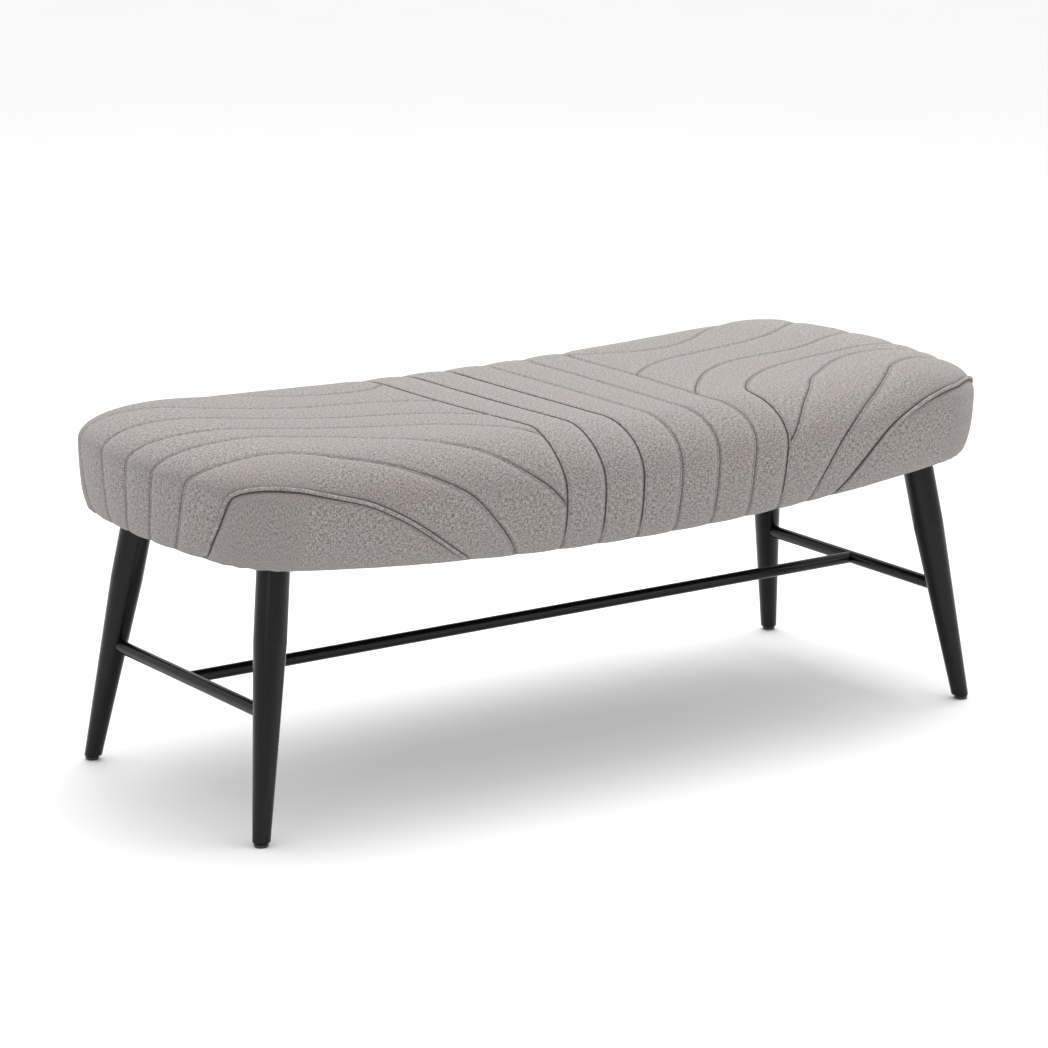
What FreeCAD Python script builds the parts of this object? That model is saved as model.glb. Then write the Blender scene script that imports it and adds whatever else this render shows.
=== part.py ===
# Upholstered bench, millimetres: a saddle shaped seat on four splayed round legs.
# X runs along the bench, -Y is the front, +Z is up, and the origin is on the floor under the seat's middle.
import FreeCAD
import Part
import math
import os

os.makedirs("parts", exist_ok=True)
doc = FreeCAD.newDocument("bench")
sheet = doc.addObject("Spreadsheet::Sheet", "Sizes")

SIZES = {
    # seat outline in plan
    "seat_length": 1215.0,
    "seat_width": 501.0,
    "side_bow_radius": 12400.0,
    "end_bow_radius": 707.0,
    "corner_at_hem": 80.0,
    "corner_at_widest": 90.0,
    "corner_at_top": 50.0,
    # seat in elevation
    "hem_height": 309.3,
    "hem_sweep_radius": 4545.0,
    "widest_above_hem": 86.0,
    "top_height": 460.5,
    "top_sweep_radius": 7576.0,
    "rounding_side": 91.0,
    "rounding_end": 138.0,
    "tuck_side": 29.0,
    "tuck_end": 9.0,
    "flat_ring_inset": "=0.17 * seat_width",
    # layers of the upholstery
    "cover_thickness": 6.0,
    "wrap_thickness": 6.0,
    "layer_gap": 0.2,
    "hem_width_side": 30.0,
    "hem_width_end": 55.0,
    "hem_corner_radius": 24.0,
    # piping
    "piping_diameter": 5.0,
    # frame under the foam
    "foam_edge_side": 5.0,
    "foam_edge_end": 31.0,
    "frame_corner_radius": 30.0,
    "rail_thickness": 16.0,
    "rail_depth": 56.0,
    "rail_clearance": 0.8,
    "cross_rail_thickness": 18.0,
    "cross_rail_offset": 190.0,
    "deck_thickness": 9.0,
    "joint_gap": 0.1,
    "block_length": 84.0,
    "block_width": 60.0,
    "cloth_thickness": 0.8,
    "cloth_setback": 9.0,
    "leg_hole_gap": 1.5,
    # legs
    "foot_setback_long": 49.5,
    "foot_setback_short": 38.3,
    "foot_spacing_long": "=seat_length - 2 * foot_setback_long",
    "foot_spacing_short": "=seat_width - 2 * foot_setback_short",
    "lean_long": 8.66,
    "lean_short": 8.12,
    "leg_diameter": 41.4,
    "foot_diameter": 22.0,
    "taper_height": 244.0,
    "leg_end_height": 6.2,
    "plate_recess": 8.0,
    "plate_size": 46.0,
    "plate_thickness": 3.0,
    "plate_screw_offset": 18.0,
    # stretchers
    "stretcher_height": 157.5,
    "side_stretcher_diameter": 17.2,
    "long_stretcher_diameter": 16.0,
    "socket_depth": 10.0,
    "tenon_diameter": 9.0,
    "tenon_length": 5.0,
    # screw in levelling feet
    "pad_diameter": 18.0,
    "pad_thickness": 4.2,
    "pad_chamfer": 1.0,
    "collar_diameter": 9.0,
    "stem_diameter": 6.0,
    "stem_length": 19.0,
    "stem_gap": 0.05,
    "insert_diameter": 10.0,
    "insert_length": 20.0,
    # fasteners
    "bolt_diameter": 8.0,
    "bolt_in_leg": 40.0,
    "bolt_above_plate": 12.0,
    "bolt_gap": 0.05,
    "block_bore_gap": 0.5,
    "plate_screw_diameter": 3.4,
    "plate_screw_length": 16.0,
    "plate_screw_head": 6.6,
    "plate_screw_head_thickness": 1.8,
    "wood_screw_diameter": 4.0,
    "wood_screw_length": 38.0,
    "wood_screw_head": 8.0,
    "wood_screw_head_depth": 2.6,
    "screws_per_deck_side": 7,
    "staple_crown": 10.0,
    "staple_wire": 1.2,
    "staple_leg": 8.0,
    "hem_staple_inset": 4.0,
    "cloth_staple_inset": 11.0,
    "staples_per_side": 14,
    "staples_per_end": 5,
}
for row, (alias, number) in enumerate(SIZES.items(), start=1):
    sheet.set("A%d" % row, alias)
    sheet.setAlias("B%d" % row, alias)
    sheet.set("B%d" % row, str(number))
doc.recompute()

vector = FreeCAD.Vector
pieces = {}


def size(alias):
    return float(sheet.get(alias))


def bound(kind, name, sizes, place=(0, 0, 0), turn=None):
    """a document object whose properties, and place where given as words, follow the sheet"""
    made = doc.addObject(kind, name)
    if turn is not None:
        made.Placement = FreeCAD.Placement(vector(0, 0, 0), turn)
    for prop, words in sizes.items():
        made.setExpression(prop, words)
    base = made.Placement.Base
    for axis, where in zip("xyz", place):
        if isinstance(where, str):
            made.setExpression("Placement.Base." + axis, where)
        else:
            setattr(base, axis, where)
    made.Placement = FreeCAD.Placement(base, made.Placement.Rotation)
    return made


def boolean(kind, name, base, tool):
    made = doc.addObject("Part::" + kind, name)
    made.Base = base
    made.Tool = tool
    return made


def fused(name, shapes):
    made = doc.addObject("Part::MultiFuse", name)
    made.Shapes = shapes
    return made


def piece(node, made):
    made.Label = node
    pieces[node] = made
    return made


def shaped(node, shape):
    made = doc.addObject("Part::Feature", node)
    made.Shape = shape
    return piece(node, made)


SIDES = (("left", -1), ("right", 1))
CORNERS = [(front + "_" + side, sx, sy) for front, sy in (("front", -1), ("back", 1)) for side, sx in SIDES]
FAR = 2000.0
ALONG_Y = FreeCAD.Rotation(vector(1, 0, 0), -90)
ALONG_X = FreeCAD.Rotation(vector(0, 1, 0), 90)

# Seat surface. A level of 0 is the hem, 1 the widest line, 2 the edge of the flat top and 3 a ring inside it.


def hem_z(x):
    radius = size("hem_sweep_radius")
    return size("hem_height") + radius - math.sqrt(radius * radius - x * x)


def top_z(x):
    radius = size("top_sweep_radius")
    return size("top_height") + radius - math.sqrt(radius * radius - x * x)


def quarter_ring(level, inset=0.0):
    """three tangent arcs of a quarter outline: side, corner and end, each with centre and radius, and
    the angles at which the corner arc meets the side and the end"""
    tucked = 1 - math.sin(math.pi / 2 * min(level, 1))
    rounded = 1 - math.cos(math.pi / 2 * min(max(level - 1, 0), 1))
    inwards = size("flat_ring_inset") * max(level - 2, 0)
    half_width = size("seat_width") / 2 - inset - inwards
    half_width -= size("tuck_side") * tucked + (size("rounding_side") - inset) * rounded
    half_length = size("seat_length") / 2 - inset - inwards
    half_length -= size("tuck_end") * tucked + (size("rounding_end") - inset) * rounded
    corner = size("corner_at_widest") - inset
    corner += (size("corner_at_hem") - size("corner_at_widest")) * tucked
    corner += (size("corner_at_top") + inset - size("corner_at_widest")) * rounded
    side_radius = size("side_bow_radius")
    end_radius = size("end_bow_radius")
    side_y = half_width - side_radius
    end_x = half_length - end_radius
    to_side = side_radius - corner
    to_end = end_radius - corner
    apart = math.hypot(end_x, side_y)
    along = (to_side ** 2 - to_end ** 2 + apart ** 2) / (2 * apart)
    off = math.sqrt(to_side ** 2 - along ** 2)
    ux = end_x / apart
    uy = -side_y / apart
    centres = [(along * ux - s * off * uy, side_y + along * uy + s * off * ux) for s in (1, -1)]
    corner_x, corner_y = max(centres, key=sum)
    side_angle = math.atan2(corner_y - side_y, corner_x)
    end_angle = math.atan2(corner_y, corner_x - end_x)
    side = (0.0, side_y, side_radius)
    end = (end_x, 0.0, end_radius)
    return side, (corner_x, corner_y, corner), end, side_angle, end_angle


def on_arc(arc, angle):
    return arc[0] + arc[2] * math.cos(angle), arc[1] + arc[2] * math.sin(angle)


def level_z(level, x, inset=0.0):
    hem = hem_z(x) + inset
    widest = hem_z(x) + size("widest_above_hem")
    rise = 1 - math.cos(math.pi / 2 * min(level, 1))
    crown = math.sin(math.pi / 2 * min(max(level - 1, 0), 1))
    return hem + (widest - hem) * rise + (top_z(x) - inset - widest) * crown


def ring_wire(level, inset):
    """closed outline of eight arcs at a level, each through three points of the surface"""
    side, corner, end, side_angle, end_angle = quarter_ring(level, inset)
    near = on_arc(corner, side_angle)
    middle = on_arc(corner, (side_angle + end_angle) / 2)
    far = on_arc(corner, end_angle)
    side_mid = on_arc(side, math.pi / 2)
    end_mid = on_arc(end, 0.0)

    def arc(points):
        return Part.Arc(*[vector(x, y, level_z(level, x, inset)) for x, y in points]).toShape()

    def turned(points, sx, sy):
        return [(sx * x, sy * y) for x, y in points]

    quarter = [near, middle, far]
    return Part.Wire([
        arc([(-near[0], -near[1]), (0, -side_mid[1]), (near[0], -near[1])]),
        arc(turned(quarter, 1, -1)),
        arc([(far[0], -far[1]), (end_mid[0], 0), far]),
        arc(turned(quarter[::-1], 1, 1)),
        arc([near, side_mid, (-near[0], near[1])]),
        arc(turned(quarter, -1, 1)),
        arc([(-far[0], far[1]), (-end_mid[0], 0), (-far[0], -far[1])]),
        arc(turned(quarter[::-1], -1, -1)),
    ])


def ring_cap(wire):
    """faces that close a ring: lines straight across from its front to its back, and a flat bow at each end"""
    edges = wire.Edges
    faces = []
    for front, back in ((edges[0], edges[4]), (edges[1], edges[3]), (edges[7], edges[5])):
        places = [back.valueAt(back.LastParameter), back.valueAt((back.FirstParameter + back.LastParameter) / 2),
                  back.valueAt(back.FirstParameter)]
        faces += Part.makeRuledSurface(front, Part.Arc(*places).toShape()).Faces
    for end in (edges[2], edges[6]):
        chord = Part.LineSegment(end.valueAt(end.LastParameter), end.valueAt(end.FirstParameter)).toShape()
        faces.append(Part.Face(Part.Wire([end, chord])))
    return faces


def cushion(inset):
    """closed seat form, smaller by an inset: rings lofted from hem to top, then in over the flat top"""
    wires = [ring_wire(level, inset) for level in (0, 0.33, 0.66, 1, 1.3, 1.6, 1.85, 2)]
    inner_wire = ring_wire(3, inset)
    wall = Part.makeLoft(wires, False, False)
    flat = Part.makeLoft([wires[-1], inner_wire], False, True)
    caps = ring_cap(wires[0]) + ring_cap(inner_wire)
    shell = Part.makeShell(wall.Faces + flat.Faces + caps)
    shell.sewShape()
    solid = Part.makeSolid(shell)
    if solid.Volume < 0:
        solid.reverse()
    return solid


def rounded_prism(half_length, half_width, radius, low, high):
    blank = Part.makeBox(2 * half_length, 2 * half_width, high - low, vector(-half_length, -half_width, low))
    upright = [edge for edge in blank.Edges if abs(edge.tangentAt(edge.FirstParameter).z) > 0.9]
    return blank.makeFillet(radius, upright)


def sweep_cylinder(offset):
    """everything above the hem's sweep raised by an offset"""
    radius = size("hem_sweep_radius") - offset
    centre_z = size("hem_height") + size("hem_sweep_radius")
    return Part.makeCylinder(radius, 2 * FAR, vector(0, -FAR, centre_z), vector(0, 1, 0))


# Cover card. Seams are drawn by hand on the cover's flat pattern, whose sides are folded out: the
# rounding takes up one band outside the flat top and the side below it another.
ROUNDING_BAND = 135.0
SIDE_BAND = 100.0
CARD_HALF_LENGTH = 704.5
CARD_HALF_WIDTH = 394.5
HEM = CARD_HALF_WIDTH


def card_scale():
    half_length = size("seat_length") / 2 - size("rounding_end") + ROUNDING_BAND + SIDE_BAND
    half_width = size("seat_width") / 2 - size("rounding_side") + ROUNDING_BAND + SIDE_BAND
    return half_length / CARD_HALF_LENGTH, half_width / CARD_HALF_WIDTH


def on_cover(card_x, card_y):
    """point of the cover under a point of the card"""
    stretch_x, stretch_y = card_scale()
    x = abs(card_x) * stretch_x
    y = abs(card_y) * stretch_y
    sign_x = math.copysign(1, card_x)
    sign_y = math.copysign(1, card_y)
    side, corner, end, side_angle, end_angle = quarter_ring(2)
    angle_side = math.atan2(y - side[1], x - side[0])
    angle_end = math.atan2(y - end[1], x - end[0])
    beyond_side = math.hypot(x - side[0], y - side[1]) - side[2]
    beyond_end = math.hypot(x - end[0], y - end[1]) - end[2]
    if angle_side < side_angle and angle_end > end_angle:
        beyond = math.hypot(x - corner[0], y - corner[1]) - corner[2]
    else:
        on_side = angle_side >= side_angle and not (angle_end <= end_angle and beyond_end > beyond_side)
        beyond = beyond_side if on_side else beyond_end
    if beyond <= 0:
        return vector(sign_x * x, sign_y * y, top_z(x))
    if beyond < ROUNDING_BAND:
        level = 2 - beyond / ROUNDING_BAND
    else:
        level = max(1 - (beyond - ROUNDING_BAND) / SIDE_BAND, 0.0)
    low_side, low_corner, low_end, low_side_angle, low_end_angle = quarter_ring(level)
    if angle_side < side_angle and angle_end > end_angle:
        angle = math.atan2(y - corner[1], x - corner[0])
        share = (angle - end_angle) / (side_angle - end_angle)
        px, py = on_arc(low_corner, low_end_angle + share * (low_side_angle - low_end_angle))
    elif on_side:
        share = (math.pi / 2 - angle_side) / (math.pi / 2 - side_angle)
        px, py = on_arc(low_side, math.pi / 2 - share * (math.pi / 2 - low_side_angle))
    else:
        px, py = on_arc(low_end, angle_end / end_angle * low_end_angle)
    return vector(sign_x * px, sign_y * py, level_z(level, px))


def tangent_arc(start, heading, end):
    """arc from start to end that leaves start along its heading, or a line where that is straight"""
    chord = end - start
    forward = vector(chord).normalize()
    sideways = heading - forward * heading.dot(forward)
    if sideways.Length < 1e-4:
        return Part.LineSegment(start, end).toShape()
    half_turn = math.acos(max(-1.0, min(1.0, heading.dot(forward)))) / 2
    bulge = chord.Length / 2 * math.tan(half_turn)
    return Part.Arc(start, start + chord * 0.5 + sideways.normalize() * bulge, end).toShape()


def biarc_wire(places):
    """smooth path through places: two tangent arcs from each place to the next"""
    ahead = places[1:] + places[-1:]
    behind = places[:1] + places[:-1]
    headings = [(after - before).normalize() for after, before in zip(ahead, behind)]
    edges = []
    for start, end, leaving, arriving in zip(places, places[1:], headings, headings[1:]):
        span = end - start
        spread = 2 * (1 - leaving.dot(arriving))
        along = span.dot(leaving + arriving)
        if spread < 1e-6:
            reach = span.Length / 4
        else:
            reach = (-along + math.sqrt(along ** 2 + spread * span.dot(span))) / spread
        joint = (start + leaving * reach + end - arriving * reach) * 0.5
        edges.append(tangent_arc(start, leaving, joint))
        edges.append(tangent_arc(joint, (end - arriving * reach - start - leaving * reach).normalize(), end))
    return Part.Wire(edges)


def piping_cord(points, radius):
    """round cord that lies half sunk along a seam"""
    path = biarc_wire([on_cover(x, y) for x, y in points])
    first = path.Edges[0]
    rim = Part.Wire([Part.makeCircle(radius, first.valueAt(first.FirstParameter),
                                     first.tangentAt(first.FirstParameter))])
    return path.makePipeShell([rim], True, False)


# Raised seams, one over each end of the seat, from the front hem to the end's hem.
PIPED_SEAMS = {
    "left": ((-205, -HEM), (-240, -352), (-285, -318), (-325, -298), (-368, -280), (-415, -262), (-470, -245),
             (-525, -212), (-590, -158), (-640, -130), (-704, -135)),
    "right": ((252, -HEM), (275, -348), (310, -310), (345, -285), (390, -260), (432, -250), (470, -240),
              (525, -205), (590, -156), (640, -131), (704, -135)),
}

# Seat cover: cloth with its fibre backing, open underneath inside a stapled hem.
piping_radius = size("piping_diameter") / 2
cover_inset = size("cover_thickness")
opening = rounded_prism(
    size("seat_length") / 2 - size("tuck_end") - size("hem_width_end"),
    size("seat_width") / 2 - size("tuck_side") - size("hem_width_side"),
    size("hem_corner_radius"), 0.0, size("top_height") - 3 * cover_inset)
shaped("seat_cover", cushion(0.0).cut(cushion(cover_inset)).cut(opening))
for side, route in PIPED_SEAMS.items():
    shaped("piping_" + side, piping_cord(route, piping_radius))

# Frame outline, shared by the rails, the deck and the foam that goes round them.
LAYERS = "(Sizes.cover_thickness + Sizes.wrap_thickness + 2 * Sizes.layer_gap)"
FRAME_X = "(Sizes.seat_length / 2 - Sizes.tuck_end - %s - Sizes.foam_edge_end)" % LAYERS
FRAME_Y = "(Sizes.seat_width / 2 - Sizes.tuck_side - %s - Sizes.foam_edge_side)" % LAYERS
layers = size("cover_thickness") + size("wrap_thickness") + 2 * size("layer_gap")
frame_x = size("seat_length") / 2 - size("tuck_end") - layers - size("foam_edge_end")
frame_y = size("seat_width") / 2 - size("tuck_side") - layers - size("foam_edge_side")
rail_low = cover_inset + size("rail_clearance")
deck_low = rail_low + size("rail_depth") + size("joint_gap")
deck_high = deck_low + size("deck_thickness")
RAIL_LOW = "(Sizes.cover_thickness + Sizes.rail_clearance)"
DECK_LOW = "(%s + Sizes.rail_depth + Sizes.joint_gap)" % RAIL_LOW

# Wadding and foam: a fibre wrap, a seat block on the deck and a strip round the rails.
gap = size("layer_gap")
wrap_outer = cushion(cover_inset + gap)
wrap_inner = cushion(cover_inset + gap + size("wrap_thickness"))
frame_space = rounded_prism(frame_x + gap, frame_y + gap, size("frame_corner_radius"), 0.0,
                            size("top_height") - 3 * layers)
shaped("fibre_wrap", wrap_outer.cut(wrap_inner).cut(frame_space))
foam_form = cushion(layers)
shaped("foam_block", foam_form.common(sweep_cylinder(deck_high + gap)))
tall_frame_space = rounded_prism(frame_x + gap, frame_y + gap, size("frame_corner_radius"), 0.0, FAR)
shaped("foam_edge_band", foam_form.cut(sweep_cylinder(deck_high)).cut(tall_frame_space))


def swept(name, offset_words):
    """cylinder whose lower side is the hem's sweep raised by an offset"""
    return bound("Part::Cylinder", name, {
        "Radius": "Sizes.hem_sweep_radius - " + offset_words,
        "Height": "2 * Sizes.seat_width",
    }, (0.0, "-Sizes.seat_width", "Sizes.hem_height + Sizes.hem_sweep_radius"), ALONG_Y)


def outline(name, half_x, half_y, radius):
    """upright rounded rectangle made of two boxes and four corner posts"""
    tall = {"Height": "2 * Sizes.top_height"}
    long_box = bound("Part::Box", name + "_long", dict(
        tall, Length="2 * " + half_x, Width="2 * (%s - %s)" % (half_y, radius)),
        ("-" + half_x, "-(%s - %s)" % (half_y, radius), 0.0))
    wide_box = bound("Part::Box", name + "_wide", dict(
        tall, Length="2 * (%s - %s)" % (half_x, radius), Width="2 * " + half_y),
        ("-(%s - %s)" % (half_x, radius), "-" + half_y, 0.0))
    posts = [bound("Part::Cylinder", name + "_post_" + corner, dict(tall, Radius=radius),
                   ("%d * (%s - %s)" % (sx, half_x, radius), "%d * (%s - %s)" % (sy, half_y, radius), 0.0))
             for corner, sx, sy in CORNERS]
    return fused(name, [long_box, wide_box] + posts)


frame_outline = outline("frame_outline", FRAME_X, FRAME_Y, "Sizes.frame_corner_radius")
above_rail_low = swept("above_rail_low", RAIL_LOW)
above_rail_high = swept("above_rail_high", "(%s + Sizes.rail_depth)" % RAIL_LOW)
above_deck_low = swept("above_deck_low", DECK_LOW)
above_deck_high = swept("above_deck_high", "(%s + Sizes.deck_thickness)" % DECK_LOW)


def curved_rail(name, blank):
    """a rail sawn from a box: inside the frame's outline, between the two sweeps"""
    inside = boolean("Common", name + "_in_outline", blank, frame_outline)
    over = boolean("Common", name + "_over", inside, above_rail_low)
    return boolean("Cut", name + "_sawn", over, above_rail_high)


tall = {"Height": "2 * Sizes.top_height"}
INNER_Y = "(%s - Sizes.rail_thickness)" % FRAME_Y
INNER_X = "(%s - Sizes.rail_thickness)" % FRAME_X
rails = {}
for front, sy in (("front", -1), ("back", 1)):
    low_y = "-" + FRAME_Y if sy < 0 else INNER_Y
    blank = bound("Part::Box", front + "_rail_blank", dict(
        tall, Length="2 * " + FRAME_X, Width="Sizes.rail_thickness"), ("-" + FRAME_X, low_y, 0.0))
    rails[front + "_rail"] = curved_rail(front + "_rail", blank)
for side, sx in SIDES:
    low_x = "-" + FRAME_X if sx < 0 else INNER_X
    between = {"Width": "2 * %s - 2 * Sizes.joint_gap" % INNER_Y}
    blank = bound("Part::Box", side + "_rail_blank", dict(tall, Length="Sizes.rail_thickness", **between),
                  (low_x, "-%s + Sizes.joint_gap" % INNER_Y, 0.0))
    rails[side + "_rail"] = curved_rail(side + "_rail", blank)
    middle_x = "%d * Sizes.cross_rail_offset - Sizes.cross_rail_thickness / 2" % sx
    blank = bound("Part::Box", "cross_rail_blank_" + side, dict(
        tall, Length="Sizes.cross_rail_thickness", **between),
        (middle_x, "-%s + Sizes.joint_gap" % INNER_Y, 0.0))
    rails["cross_rail_" + side] = curved_rail("cross_rail_" + side, blank)
deck_over = boolean("Common", "deck_over", frame_outline, above_deck_low)
deck_blank = boolean("Cut", "deck_blank", deck_over, above_deck_high)

# Legs: each leans inwards both ways, its top square to its own axis under the frame's corner.
foot_x = size("foot_spacing_long") / 2
foot_y = size("foot_spacing_short") / 2
slope_x = math.tan(math.radians(size("lean_long")))
slope_y = math.tan(math.radians(size("lean_short")))
stretch = math.sqrt(1 + slope_x ** 2 + slope_y ** 2)
leg_top_z = hem_z(foot_x)
for step in range(8):
    leg_top_z = hem_z(foot_x - leg_top_z * slope_x) + size("plate_recess")
leg_length = leg_top_z * stretch
taper_length = size("taper_height") * stretch
stretcher_z = size("stretcher_height")
side_stretcher_x = foot_x - stretcher_z * slope_x
leg_axis_y = foot_y - stretcher_z * slope_y
leg_radius_there = size("foot_diameter") / 2
leg_radius_there += (size("leg_diameter") - size("foot_diameter")) / 2 * stretcher_z / size("taper_height")
side_half = leg_axis_y - leg_radius_there + size("socket_depth")


def leg_place(sx, sy, distance, along_x=0.0, along_y=0.0):
    """placement at a distance up a leg's axis, turned to the axis, moved square to it"""
    axis = vector(-sx * slope_x, -sy * slope_y, 1)
    turn = FreeCAD.Rotation(vector(0, 0, 1), axis)
    base = vector(sx * foot_x, sy * foot_y, 0) + axis.normalize() * distance
    return FreeCAD.Placement(base + turn.multVec(vector(along_x, along_y, 0)), turn)


def placed(made, placement):
    made.Placement = placement
    return made


def side_rod(name, side, sx, extra_words, half_length):
    """rod along Y between a front and a back leg"""
    made = bound("Part::Cylinder", name, {
        "Radius": "(Sizes.side_stretcher_diameter + %s) / 2" % extra_words})
    made.Height = 2 * half_length
    return placed(made, FreeCAD.Placement(vector(sx * side_stretcher_x, -half_length, stretcher_z), ALONG_Y))


def cross_rod(name, radius_words, half_length):
    made = bound("Part::Cylinder", name, {"Radius": radius_words})
    made.Height = 2 * half_length
    return placed(made, FreeCAD.Placement(vector(-half_length, 0, stretcher_z), ALONG_X))


floor_trim = bound("Part::Box", "floor_trim", {
    "Length": "2 * Sizes.seat_length", "Width": "2 * Sizes.seat_width", "Height": "100 + Sizes.leg_end_height"},
    ("-Sizes.seat_length", "-Sizes.seat_width", -100.0))
sockets = [side_rod("socket_" + side, side, sx, "Sizes.joint_gap", side_half + size("joint_gap") / 2)
           for side, sx in SIDES]
legs = {}
bolt_shapes = []
plate_screw_shapes = []
for corner, sx, sy in CORNERS:
    taper = bound("Part::Cone", "taper_" + corner, {
        "Radius1": "Sizes.foot_diameter / 2", "Radius2": "Sizes.leg_diameter / 2"})
    taper.Height = taper_length
    placed(taper, leg_place(sx, sy, 0.0))
    shaft = bound("Part::Cylinder", "shaft_" + corner, {"Radius": "Sizes.leg_diameter / 2"})
    shaft.Height = leg_length - taper_length
    placed(shaft, leg_place(sx, sy, taper_length))
    whole = fused("leg_blank_" + corner, [taper, shaft])
    trimmed = boolean("Cut", "leg_trimmed_" + corner, whole, floor_trim)
    insert_hole = bound("Part::Cylinder", "insert_hole_" + corner, {
        "Radius": "Sizes.insert_diameter / 2", "Height": "Sizes.leg_end_height + Sizes.insert_length"},
        ("%d * Sizes.foot_spacing_long / 2" % sx, "%d * Sizes.foot_spacing_short / 2" % sy, 0.0))
    pilot = bound("Part::Cylinder", "pilot_" + corner, {
        "Radius": "Sizes.bolt_diameter / 2 + Sizes.bolt_gap",
        "Height": "Sizes.bolt_in_leg + Sizes.joint_gap"})
    placed(pilot, leg_place(sx, sy, leg_length - size("bolt_in_leg") - size("joint_gap")))
    holes = fused("leg_holes_" + corner, [insert_hole, pilot, sockets[0 if sx < 0 else 1]])
    legs[corner] = piece("leg_" + corner, boolean("Cut", "leg_" + corner, trimmed, holes))

    bolt_shape = Part.makeCylinder(size("bolt_diameter") / 2,
                                   size("bolt_in_leg") + size("plate_thickness") + size("bolt_above_plate"))
    bolt_shape.Placement = leg_place(sx, sy, leg_length - size("bolt_in_leg"))
    bolt_shapes.append(bolt_shape)

    plate_blank = bound("Part::Box", "plate_blank_" + corner, {
        "Length": "Sizes.plate_size", "Width": "Sizes.plate_size", "Height": "Sizes.plate_thickness"})
    half_plate = size("plate_size") / 2
    placed(plate_blank, leg_place(sx, sy, leg_length + size("joint_gap"), -half_plate, -half_plate))
    bore = bound("Part::Cylinder", "plate_bore_" + corner, {
        "Radius": "Sizes.bolt_diameter / 2 + Sizes.bolt_gap", "Height": "4 * Sizes.plate_thickness"})
    placed(bore, leg_place(sx, sy, leg_length - size("plate_thickness")))
    plate_tools = [bore]
    offset = size("plate_screw_offset")
    for number, (dx, dy) in enumerate(((-1, -1), (-1, 1), (1, -1), (1, 1))):
        screw_hole = bound("Part::Cylinder", "plate_hole_%s_%d" % (corner, number), {
            "Radius": "Sizes.plate_screw_diameter / 2 + Sizes.joint_gap", "Height": "4 * Sizes.plate_thickness"})
        placed(screw_hole, leg_place(sx, sy, leg_length - size("plate_thickness"), dx * offset, dy * offset))
        plate_tools.append(screw_hole)
        head = Part.makeCylinder(size("plate_screw_head") / 2, size("plate_screw_head_thickness"))
        shank = Part.makeCylinder(size("plate_screw_diameter") / 2,
                                  size("plate_screw_head_thickness") + size("plate_screw_length"))
        screw = head.fuse(shank)
        screw.Placement = leg_place(sx, sy, leg_length + size("joint_gap") - size("plate_screw_head_thickness"),
                                    dx * offset, dy * offset)
        plate_screw_shapes.append(screw)
    piece("leg_plate_" + corner, boolean("Cut", "leg_plate_" + corner, plate_blank,
                                         fused("plate_holes_" + corner, plate_tools)))
shaped("hanger_bolts", Part.makeCompound(bolt_shapes))
shaped("plate_screws", Part.makeCompound(plate_screw_shapes))

# Corner blocks: they fill the frame's corners and carry the leg plates on a face cut to each leg's lean.
block_blanks = {}
for corner, sx, sy in CORNERS:
    side_word = "Sizes.block_length"
    low_x = "%s - Sizes.joint_gap - %s" % (INNER_X, side_word) if sx > 0 else "-%s + Sizes.joint_gap" % INNER_X
    low_y = "%s - 2 * Sizes.joint_gap - Sizes.block_width" % INNER_Y if sy > 0 else \
        "-%s + 2 * Sizes.joint_gap" % INNER_Y
    blank = bound("Part::Box", "block_blank_" + corner, dict(
        tall, Length=side_word, Width="Sizes.block_width"), (low_x, low_y, 0.0))
    sawn = curved_rail("block_" + corner, blank)
    reach = 200.0
    below_plate = bound("Part::Box", "below_plate_" + corner, {})
    below_plate.Length = 2 * reach
    below_plate.Width = 2 * reach
    below_plate.Height = reach
    plate_top = leg_length + size("plate_thickness") + 2 * size("joint_gap")
    placed(below_plate, leg_place(sx, sy, plate_top - reach, -reach, -reach))
    bore = bound("Part::Cylinder", "block_bore_" + corner, {
        "Radius": "Sizes.bolt_diameter / 2 + Sizes.block_bore_gap",
        "Height": "Sizes.plate_thickness + Sizes.bolt_above_plate + 2"})
    placed(bore, leg_place(sx, sy, leg_length))
    faced = boolean("Cut", "block_faced_" + corner, sawn, below_plate)
    block_blanks[corner] = boolean("Cut", "block_bored_" + corner, faced, bore)


def wood_screw(place, direction):
    """countersunk screw whose head is flush at place and whose shank runs along direction"""
    head = Part.makeCone(size("wood_screw_head") / 2, size("wood_screw_diameter") / 2,
                         size("wood_screw_head_depth"), place, direction)
    shank = Part.makeCylinder(size("wood_screw_diameter") / 2, size("wood_screw_length"), place, direction)
    return head.fuse(shank)


# Screws: through the rails into the corner blocks, and down through the deck into the long rails.
block_screws = []
for corner, sx, sy in CORNERS:
    block_x = frame_x - size("rail_thickness") - size("block_length") / 2
    block_y = frame_y - size("rail_thickness") - size("block_width") / 2
    for share in (-0.3, 0.3):
        x = block_x + share * size("block_length")
        z = hem_z(x) + rail_low + size("rail_depth") * 0.72
        block_screws.append(wood_screw(vector(sx * x, sy * frame_y, z), vector(0, -sy, 0)))
    z = hem_z(frame_x) + rail_low + size("rail_depth") * 0.45
    block_screws.append(wood_screw(vector(sx * frame_x, sy * block_y, z), vector(-sx, 0, 0)))
deck_screws = []
deck_count = int(size("screws_per_deck_side"))
screw_reach = frame_x - 2 * size("frame_corner_radius")
for sy in (-1, 1):
    y = sy * (frame_y - size("rail_thickness") / 2)
    for number in range(deck_count):
        x = -screw_reach + 2 * screw_reach * number / (deck_count - 1)
        z = hem_z(x) + deck_high
        deck_screws.append(wood_screw(vector(x, y, z), vector(0, 0, -1)))
block_screw_group = shaped("block_screws", Part.makeCompound(block_screws))
deck_screw_group = shaped("deck_screws", Part.makeCompound(deck_screws))
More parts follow.
